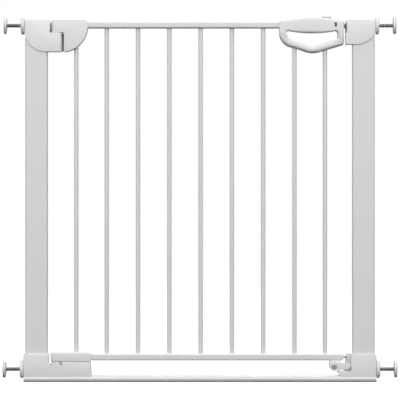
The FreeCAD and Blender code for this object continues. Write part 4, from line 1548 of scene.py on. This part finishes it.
@dataclass
class HingeFoot:
    """The shoe on the leaf's lower hinge corner, with the cam tooth under it."""

    tooth_radius: float = 10.8 * MM
    shoe_low: float = 13.3          # above the tooth's lowest line, in millimetres

    def build(self) -> None:
        """Makes the shoe and its tooth in one moulding."""
        box = Extent.of("hinge_foot")
        pin = Pivot("lower_pivot_pin")
        wide, tall = box.size.x / MM, box.size.z / MM
        outline = Outline((box.low.x, box.low.z), [(0.0, self.shoe_low), (0.0, tall), (wide, tall)])
        outline.to((wide, self.shoe_low))
        points = outline.metres()
        shoe = Mesher.prism("hinge_foot_moulding", points, box.low.y, box.high.y)
        end = Casing("foot", "leaf", outline, box.high.y, knuckle=(box.low.x, 7.5 * MM))
        Mesher.combine(shoe, [end.plan(points)], "INTERSECT")
        Mesher.soften(shoe, 1.8 * MM, 4)
        low = box.low.z
        profile = rod_profile(low - 1 * MM, low + 15 * MM, self.tooth_radius)
        tooth = Mesher.turned("tooth", profile, (pin.centre.x, 0, 0), Axis.Z, 72)
        trim = Mesher.prism("wedge", wedge(12 * MM, low, low + 20 * MM), pin.centre.x - 0.02,
                            pin.centre.x + 0.02, Axis.X)
        Mesher.combine(tooth, [trim], "INTERSECT")
        Mesher.combine(shoe, [tooth], "UNION")
        Mesher.combine(shoe, [pin.room(0.0, Extent.of(pin.node).high.z + 3 * MM)])
        Mesher.smooth(shoe)
        WHITE_PLASTIC.dress(shoe)
        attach(shoe, "leaf")
        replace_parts(shoe, "hinge_foot")


@dataclass
class Stop:
    """The turning stop under the leaf, its bracket and its screw."""

    hub: float = 9.9

    def bracket(self) -> None:
        """The lug under the rail."""
        box = Extent.of("stop_bracket")
        wide, tall, hub = box.size.x / MM, box.size.z / MM, self.hub
        outline = Outline((box.low.x, box.low.z), [(0.0, tall), (0.0, hub)])
        outline.round((2 * hub, hub), (hub, 0.0), 24).to((2 * hub, 15.2), (wide, tall))
        lug = Mesher.prism("stop_lug", outline.metres(), box.low.y, box.high.y)
        Mesher.soften(lug, 1.0 * MM, 3)
        Mesher.smooth(lug)
        WHITE_PLASTIC.dress(lug)
        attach(lug, "leaf")
        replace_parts(lug, "stop_bracket")

    def tongue(self) -> None:
        """The tongue: a round hub and a blade with a half-round end."""
        box = Extent.of("stop_tongue")
        screw = Extent.of("stop_screw").middle
        wide, hub = box.size.x / MM, self.hub
        blade_low, blade_high = 2.5, 17.2
        half = (blade_high - blade_low) / 2
        outline = Outline((box.low.x, box.low.z), [(hub, blade_low), (wide - half, blade_low)])
        outline.round((wide - half, blade_high), (wide, blade_low + half), 24).to((hub, blade_high))
        tongue = Mesher.prism("stop_tongue_moulding", outline.metres(), box.low.y, box.high.y)
        profile = rod_profile(box.low.y, box.high.y, hub * MM)
        disc = Mesher.turned("disc", profile, (screw.x, 0, screw.z), Axis.Y, 72)
        Mesher.combine(tongue, [disc], "UNION")
        Mesher.soften(tongue, 1.1 * MM, 4)
        bore = rod_profile(-0.03, 0.0, 2.6 * MM)
        Mesher.combine(tongue, [Mesher.turned("bore", bore, (screw.x, 0, screw.z), Axis.Y, 40)])
        Mesher.smooth(tongue)
        WHITE_PLASTIC.dress(tongue)
        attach(tongue, "stop")
        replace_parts(tongue, "stop_tongue")

    def screw(self) -> None:
        """The large cross-head screw that the tongue turns on."""
        box = Extent.of("stop_screw")
        radius = box.size.z / 2
        head = 2.4 * MM
        profile = [(0.0, 0.0), (0.0, 0.60 * radius), (0.10 * head, 0.76 * radius),
                   (0.28 * head, 0.90 * radius), (0.55 * head, 0.98 * radius), (0.8 * head, radius),
                   (head, radius), (head, 2.5 * MM), (box.size.y, 2.5 * MM), (box.size.y, 0.0)]
        centre = (box.middle.x, box.low.y, box.middle.z)
        screw = Mesher.turned("stop_pivot_screw", profile, centre, Axis.Y, 64)
        ring = [(-0.1 * MM, 4.35 * MM), (0.35 * MM, 4.35 * MM), (0.35 * MM, 4.75 * MM),
                (-0.1 * MM, 4.75 * MM), (-0.1 * MM, 4.35 * MM)]
        cuts = [Mesher.turned("ring", ring, centre, Axis.Y, 64)]
        for turn in (math.pi / 4, 3 * math.pi / 4):
            along = Vector((math.cos(turn), math.sin(turn))) * 2.9 * MM
            across = Vector((-math.sin(turn), math.cos(turn))) * 0.62 * MM
            corners = [along * a + across * b for a, b in ((-1, -1), (1, -1), (1, 1), (-1, 1))]
            points = [(box.middle.x + corner.x, box.middle.z + corner.y) for corner in corners]
            cuts.append(Mesher.prism("wing", points, box.low.y - 1 * MM, box.low.y + 1.5 * MM))
        Mesher.combine(screw, cuts)
        Mesher.smooth(screw, 30)
        SATIN_ZINC.dress(screw)
        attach(screw, "leaf")
        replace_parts(screw, "stop_screw")

    def build(self) -> None:
        """Makes the three pieces."""
        self.bracket()
        self.tongue()
        self.screw()


@dataclass
class Handle:
    """The loop handle: two shells whose section changes from a flat arm to a round grip."""

    sections: int = 288
    section_steps: int = 20
    arm_power: float = 7.0          # how square the arm's section is
    grip_power: float = 2.7         # how round the lower grip's section is
    grip_depth: float = 0.86        # the grip's depth as a share of the arm's
    pane_spread: float = -0.3 * MM  # how far the window's rounded frame reaches past its box
    flag_travel: float = 11 * MM    # the room that the flag needs to draw back
    screws: Screws = field(default_factory=Screws)

    def _box(self) -> Extent:
        """The handle's box."""
        return Extent.of("handle_front_shell", "handle_rear_shell")

    def rim(self) -> list[Point]:
        """The handle's outer outline.

        Returns:
            The outline's points.
        """
        box = self._box()
        wide = box.size.x / MM
        outline = Outline((box.low.x, box.low.z), [(0.0, 40.1), (0.0, 63.5)])
        outline.round((5.0, 69.4), (1.3, 68.1), 8).round((wide - 4.0, 69.4), (68.9, 75.5), 48)
        outline.round((wide, 65.9), (wide - 1.1, 68.3), 8).to((wide, 21.6))
        outline.round((wide - 4.4, 16.1), (wide - 1.2, 17.9), 8).to((86.9, 2.7))
        outline.round((56.9, 1.9), (70.9, 0.0), 20).to((28.9, 11.3))
        return outline.round((0.0, 40.1), (7.9, 21.5), 24).metres()

    def window(self) -> list[Point]:
        """The outline of the opening for the hand.

        Returns:
            The outline's points.
        """
        box = self._box()
        outline = Outline((box.low.x, box.low.z), [(19.9, 47.5)])
        outline.round((117.4, 47.1), (68.9, 42.3), 40).round((122.9, 42.1), (121.1, 45.9), 8)
        outline.to((122.9, 33.1)).round((119.3, 28.5), (122.3, 30.3), 6)
        outline.round((71.9, 15.9), (84.7, 19.3), 20).round((63.9, 15.9), (67.9, 15.3), 6)
        outline.to((29.9, 26.7)).round((17.3, 37.1), (21.5, 30.9), 10)
        return outline.round((19.9, 47.5), (14.9, 43.5), 10).metres()

    @staticmethod
    def _evenly(points: Sequence[Point], count: int) -> list[Point]:
        """Points at even steps along a closed outline.

        Args:
            points: the outline.
            count: how many points to give.

        Returns:
            The points.
        """
        closed = [*points, points[0]]
        lengths = [math.dist(one, other) for one, other in zip(closed, closed[1:])]
        total = sum(lengths)
        result: list[Point] = []
        index, passed = 0, 0.0
        for step in range(count):
            goal = total * step / count
            while passed + lengths[index] < goal:
                passed += lengths[index]
                index += 1
            share = (goal - passed) / lengths[index]
            (ax, az), (bx, bz) = closed[index], closed[index + 1]
            result.append((ax + (bx - ax) * share, az + (bz - az) * share))
        return result

    @staticmethod
    def _outwards(centre: Point, through: Point, rim: Sequence[Point]) -> Point:
        """Where the ray from a centre through a point leaves the rim.

        Args:
            centre: the ray's start.
            through: a point on the ray.
            rim: a closed outline round both.

        Returns:
            The crossing that lies furthest out.
        """
        dx, dz = through[0] - centre[0], through[1] - centre[1]
        best = 0.0
        for (ax, az), (bx, bz) in zip(rim, [*rim[1:], rim[0]]):
            ex, ez = bx - ax, bz - az
            cross = dx * ez - dz * ex
            if abs(cross) < 1e-15:
                continue
            along = ((ax - centre[0]) * ez - (az - centre[1]) * ex) / cross
            part = ((ax - centre[0]) * dz - (az - centre[1]) * dx) / cross
            if -1e-9 <= part <= 1 + 1e-9:
                best = max(best, along)
        return centre[0] + dx * best, centre[1] + dz * best

    def shell(self, half: Half) -> bpy.types.Object:
        """Makes one shell as a ring of sections round the opening.

        Args:
            half: front or rear.

        Returns:
            A closed solid, not yet dressed.
        """
        box = self._box()
        rim = self.rim()
        inner = self._evenly(self.window(), self.sections)
        centre = (box.low.x + 69 * MM, box.low.z + 33 * MM)
        shape = bmesh.new()
        rings = []
        for point in inner:
            outer = self._outwards(centre, point, rim)
            level = (point[1] - box.low.z) / MM
            arm = min(1.0, max(0.0, (level - 22.0) / 22.0))
            arm = arm * arm * (3 - 2 * arm)
            power = self.grip_power + (self.arm_power - self.grip_power) * arm
            depth = box.high.y * (self.grip_depth + (1 - self.grip_depth) * arm)
            middle = ((point[0] + outer[0]) / 2, (point[1] + outer[1]) / 2)
            ring = []
            for step in range(self.section_steps + 1):
                turn = math.pi * step / self.section_steps
                cosine, sine = math.cos(turn), math.sin(turn)
                swing = math.copysign(abs(cosine) ** (2 / power), cosine)
                y = half.value * (SEAM + (depth - SEAM) * abs(sine) ** (2 / power))
                x = middle[0] + (outer[0] - middle[0]) * swing
                z = middle[1] + (outer[1] - middle[1]) * swing
                ring.append(shape.verts.new((x, y, z)))
            rings.append(ring)
        for ring, following in zip(rings, [*rings[1:], rings[0]]):
            for index, vertex in enumerate(ring):
                after = (index + 1) % len(ring)
                shape.faces.new((vertex, ring[after], following[after], following[index]))
        return Mesher.from_bmesh(f"handle_{half.word}_moulding", shape)

    def latch_rooms(self) -> list[bpy.types.Object]:
        """The hollows that the bolt, the thumb slide's arm and the flag move in.

        Returns:
            The solids to cut out.
        """
        box = self._box()
        bolt = Extent.of("latch_bolt")
        spring = Extent.of("latch_spring")
        inside = Mesher.block(
            "bolt_room", (spring.low.x - 0.5 * MM, -7.1 * MM, bolt.low.z - 0.4 * MM),
            (box.high.x - 2.5 * MM, 4.0 * MM, bolt.low.z + 12.2 * MM))
        mouth = Mesher.block(
            "mouth", (box.high.x - 3 * MM, -4.0 * MM, bolt.low.z - 0.4 * MM),
            (box.high.x + 1 * MM, 4.0 * MM, bolt.low.z + 10.0 * MM))
        arm = Mesher.block(
            "arm_room", (box.low.x + 87.2 * MM, -3.4 * MM, bolt.low.z + 9 * MM),
            (box.low.x + 105.4 * MM, 3.4 * MM, box.high.z + 20 * MM))
        flag = Extent.of("indicator_flag")
        behind = Extent.of("indicator_window").high.y + 0.2 * MM
        slip = Mesher.block(
            "flag_room", (flag.low.x - self.flag_travel, behind, flag.low.z - 0.4 * MM),
            (flag.high.x + 0.5 * MM, -6.0 * MM, flag.high.z + 0.4 * MM))
        return [inside, mouth, arm, slip]

    def pane_room(self) -> bpy.types.Object:
        """The rounded hole for the indicator window."""
        pane = Extent.of("indicator_window")
        return Mesher.prism("pane_room", self._pane_outline(pane, 0.0), -0.03, -3 * MM)

    def _pane_outline(self, pane: Extent, inset: float) -> list[Point]:
        """A rounded oblong about as large as the window's box.

        Args:
            pane: the window's box.
            inset: how far in the outline lies all round.

        Returns:
            The outline's points.
        """
        radius = 1.2 * MM - inset
        low_x, high_x = pane.low.x + inset - self.pane_spread, pane.high.x - inset + self.pane_spread
        low_z, high_z = pane.low.z + inset, pane.high.z - inset
        points: list[Point] = []
        right, left, top, bottom = high_x - radius, low_x + radius, high_z - radius, low_z + radius
        for x, z, start in ((right, bottom, -90), (right, top, 0), (left, top, 90), (left, bottom, 180)):
            for step in range(7):
                turn = math.radians(start + 15 * step)
                points.append((x + radius * math.cos(turn), z + radius * math.sin(turn)))
        return points

    def window_pane(self) -> None:
        """The clear pane."""
        pane = Extent.of("indicator_window")
        points = self._pane_outline(pane, 0.04 * MM)
        made = Mesher.prism("indicator_pane", points, pane.low.y + 0.5 * MM, pane.high.y)
        Mesher.soften(made, 0.15 * MM, 2)
        Mesher.smooth(made)
        CLEAR_WINDOW.dress(made)
        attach(made, "leaf")
        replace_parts(made, "indicator_window")

    def screw_places(self) -> list[Vector]:
        """Where the handle's screws are: four in the arm, and a deeper one in the grip.

        Returns:
            The middle of each head's face.
        """
        box = Extent.of("handle_rear_shell")
        spots = ((7.9, 41.6, 0.8), (54.9, 68.7, 0.8), (63.4, 48.1, 0.8), (129.9, 45.1, 0.8), (72.9, 7.7, 3.0))
        return [Vector((box.low.x + x * MM, box.high.y - deep * MM, box.low.z + z * MM))
                for x, z, deep in spots]

    def build(self) -> None:
        """Makes both shells and the window."""
        for half in Half:
            shell = self.shell(half)
            rooms = self.latch_rooms()
            rooms += [self.pane_room()] if half is Half.FRONT else self.screws.rooms(self.screw_places())
            Mesher.combine(shell, rooms)
            Mesher.smooth(shell, 38)
            WHITE_PLASTIC.dress(shell)
            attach(shell, "leaf")
            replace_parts(shell, f"handle_{half.word}_shell")
        self.window_pane()


@dataclass
class Latch:
    """The bolt, the thumb slide that draws it back, and the indicator flag."""

    rib_count: int = 6
    flag_gap: float = 0.7 * MM          # between the pane and the slip behind it

    def bolt(self) -> None:
        """The bolt, with a bevelled tip."""
        box = Extent.of("latch_bolt")
        body_high = box.low.z + 9.6 * MM
        nose = 2.2 * MM
        points = [(box.low.x, box.low.z), (box.high.x - nose, box.low.z), (box.high.x, box.low.z + nose),
                  (box.high.x, body_high - nose / 3), (box.high.x - nose / 3, body_high),
                  (box.low.x, body_high)]
        bolt = Mesher.prism("bolt", points, box.low.y, box.high.y)
        Mesher.soften(bolt, 0.5 * MM, 3)
        Mesher.smooth(bolt)
        DARK_ZINC.dress(bolt)
        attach(bolt, "latch")
        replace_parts(bolt, "latch_bolt")

    def slide(self) -> None:
        """The thumb slide: a low crowned button with grip ribs across it, and its arm down to the bolt."""
        box = Extent.of("thumb_slide")
        wide = box.size.x / MM
        crown = Outline((box.low.x, box.high.z), [(0.0, -3.7), (0.0, -1.4)])
        crown.round((wide, -2.4), (wide / 2 - 1.0, 0.0), 20).to((wide, -5.0))
        plate = Mesher.prism("thumb_plate", crown.metres(), box.low.y, box.high.y)
        Mesher.soften(plate, 0.4 * MM, 3)
        bolt_top = Extent.of("latch_bolt").low.z + 9.5 * MM
        arm = Mesher.block("arm", (box.middle.x - 3.5 * MM, -3 * MM, bolt_top),
                           (box.middle.x + 3.5 * MM, 3 * MM, box.high.z - 2 * MM))
        Mesher.combine(plate, [arm], "UNION")
        Mesher.smooth(plate)
        WHITE_PLASTIC.dress(plate)
        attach(plate, "latch")
        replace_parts(plate, "thumb_slide")
        turns = [math.radians(30 * step) for step in range(12)]
        section = [(0.45 * MM * math.cos(turn), 0.45 * MM * math.sin(turn)) for turn in turns]
        rib = Mesher.prism("rib_pattern", section, -5.5 * MM, 5.5 * MM)
        step = 2.0 * MM
        start = Vector((box.middle.x - step * (self.rib_count - 1) / 2, 0.0, box.high.z - 0.75 * MM))
        ribs = Recipes.row().run("thumb_ribs", [], {
            "Pattern": rib, "Start": start, "Step": Vector((step, 0, -0.1 * MM)),
            "Count": self.rib_count, "Finish": WHITE_PLASTIC.material()})
        bpy.data.objects.remove(rib)
        Mesher.smooth(ribs, 40)
        WHITE_PLASTIC.dress(ribs)
        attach(ribs, "latch")

    def flag(self) -> None:
        """The two-colour slip, green while the bolt is out. It stands just behind the window's pane."""
        box = Extent.of("indicator_flag")
        finish = TwoColourFinish(
            "indicator_green_red", "green_flag", (0.004, 0.170, 0.010), (0.003, 0.140, 0.008),
            roughness=0.45, specular=0.25, line_x=box.middle.x, other=(0.45, 0.010, 0.010))
        front = Extent.of("indicator_window").high.y + self.flag_gap
        low = (box.low.x, front, box.low.z)
        slip = Mesher.block("indicator_slip", low, box.high)
        Mesher.soften(slip, 0.3 * MM, 2)
        Mesher.smooth(slip)
        finish.dress(slip)
        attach(slip, "latch")
        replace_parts(slip, "indicator_flag")

    def spring(self) -> None:
        """The coil spring behind the bolt, a rigid copy of the frame's mesh; it does not squeeze as the bolt
        draws back.
        """
        box = Extent.of("latch_spring")
        slide = next(joint for joint in frame["joints"] if joint["name"] == "latch_slide")
        travel = max(slide["range_m"])
        spring = Mesher.piece("bolt_spring", frame["nodes"]["latch_spring"].data.copy())
        BRIGHT_ZINC.dress(spring)
        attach(spring, "leaf")
        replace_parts(spring, "latch_spring")
        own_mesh(spring)

    def build(self) -> None:
        """Makes the four pieces."""
        self.bolt()
        self.slide()
        self.flag()
        self.spring()


@dataclass
class Threshold:
    """The flat-oval bar along the floor."""

    def build(self) -> None:
        """Dresses the bar and its end plugs."""
        POWDER_COAT.dress(frame["nodes"]["threshold_bar"])
        WHITE_PLASTIC.dress(frame["nodes"]["threshold_end_caps"])


@dataclass
class Studio:
    """A pale floor, soft lights and the camera."""

    view_width: float = 0.844
    eye_height: float = 0.3832
    lens: float = 200.0
    aim_height: float = 0.4         # what the lights point at
    floor_tone: float = 0.05
    floor_lift: float = 0.95        # how much whiter the floor looks than the light on it makes it
    glow_span: Span = (-0.25, 1.0)  # the heights of view between which the room's light grows
    glow: float = 0.85              # the room's light overhead

    def camera(self) -> None:
        """A long lens straight in front, so that the view is almost flat."""
        data = bpy.data.cameras.new("front_camera")
        data.lens = self.lens
        data.sensor_width = 36.0
        data.clip_end = 50.0
        camera = bpy.data.objects.new("front_camera", data)
        bpy.context.scene.collection.objects.link(camera)
        camera.location = (0.0, -self.view_width * self.lens / data.sensor_width, self.eye_height)
        camera.rotation_euler = (math.pi / 2, 0.0, 0.0)
        bpy.context.scene.camera = camera

    def lamp(self, name: str, place: tuple[float, float, float], size: Span, power: float) -> None:
        """Adds one soft oblong light that points at the gate's middle.

        Args:
            name: the light's name.
            place: where it hangs.
            size: its width and height.
            power: its strength in watts.
        """
        data = bpy.data.lights.new(name, "AREA")
        data.shape = "RECTANGLE"
        data.size, data.size_y = size
        data.energy = power
        light = bpy.data.objects.new(name, data)
        bpy.context.scene.collection.objects.link(light)
        light.location = place
        aim = Vector((0.0, 0.0, self.aim_height)) - Vector(place)
        light.rotation_euler = aim.to_track_quat("-Z", "Y").to_euler()

    def floor(self) -> None:
        """A wide pale floor."""
        shape = bmesh.new()
        bmesh.ops.create_grid(shape, x_segments=1, y_segments=1, size=6.0)
        mesh = bpy.data.meshes.new("floor")
        shape.to_mesh(mesh)
        shape.free()
        floor = Mesher.piece("floor", mesh)
        floor.location.z = -0.05 * MM
        made = bpy.data.materials.new("pale_floor")
        made.use_nodes = True
        graph = Graph(made.node_tree)
        seen = graph.add("ShaderNodeLightPath").outputs["Is Camera Ray"]
        graph.fill(made.node_tree.nodes["Principled BSDF"], {
            "Base Color": (self.floor_tone, self.floor_tone, self.floor_tone, 1.0), "Roughness": 0.9,
            "Emission Color": (1.0, 1.0, 1.0, 1.0),
            "Emission Strength": graph.sum("MULTIPLY", seen, self.floor_lift)})
        mesh.materials.append(made)

    def surroundings(self) -> None:
        """A white room, brighter above than below."""
        world = bpy.data.worlds.new("white_room")
        bpy.context.scene.world = world
        world.use_nodes = True
        graph = Graph(world.node_tree)
        view = graph.add("ShaderNodeTexCoord").outputs["Generated"]
        height = graph.add("ShaderNodeSeparateXYZ", {"Vector": view}).outputs["Z"]
        glow = graph.add("ShaderNodeMapRange", {
            "Value": height, "From Min": self.glow_span[0], "From Max": self.glow_span[1], "To Min": 0.0,
            "To Max": self.glow}).outputs["Result"]
        seen = graph.add("ShaderNodeLightPath").outputs["Is Camera Ray"]
        strength = graph.add("ShaderNodeMix", {0: seen, 2: glow, 3: 1.0}, data_type="FLOAT").outputs[0]
        graph.fill(world.node_tree.nodes["Background"], {
            "Color": (1.0, 1.0, 1.0, 1.0), "Strength": strength})

    def build(self) -> None:
        """Sets the scene."""
        self.camera()
        self.floor()
        self.surroundings()
        self.lamp("overhead", (0.0, -0.5, 3.2), (2.6, 1.8), 18.0)
        self.lamp("front_fill", (-2.0, -5.2, 3.0), (3.0, 2.0), 120.0)
        self.lamp("front_fill_right", (2.2, -5.0, 2.9), (2.7, 1.8), 96.0)
        self.lamp("back_fill", (0.8, 4.5, 2.4), (2.5, 1.8), 60.0)
        for side in Side:
            self.lamp(f"{side.word}_side_light", (side.value * 3.0, -1.4, 1.5), (1.6, 1.4), 10.0)
        bpy.context.scene.view_settings.view_transform = "Standard"


def main() -> None:
    """Builds the gate piece by piece and reports each."""
    logging.basicConfig(level=logging.INFO, format="%(name)s: %(message)s")
    Studio().build()
    hinge, latch_housing, handle, screws = HingeCorner(), LatchHousing(), Handle(), Screws()
    steps: list[tuple[str, Callable[[], None]]] = [
        ("left upright", Upright(Side.LEFT).dress),
        ("right upright", Upright(Side.RIGHT).dress),
        ("threshold", Threshold().build),
        ("boots", Boots().build),
        ("upper hinge", hinge.build),
        ("latch housing", latch_housing.build),
        ("leaf", Leaf().build),
        ("hinge foot", HingeFoot().build),
        ("stop", Stop().build),
        ("handle", handle.build),
        ("latch", Latch().build),
    ]
    for side in Side:
        for level in ("upper", "lower"):
            steps.append((f"{level} {side.word} spindle", WallSpindle(side, level).build))
    for label, build in steps:
        build()
        LOG.info("%s built", label)
    frame_places = hinge.housing_screws() + latch_housing.places()
    leaf_places = hinge.cover_screws() + handle.screw_places()
    screws.fit("frame_screw_set", "frame", frame_places, "frame_screws")
    screws.fit("leaf_screw_set", "leaf", leaf_places, "leaf_screws")


if __name__ == "__main__":
    main()
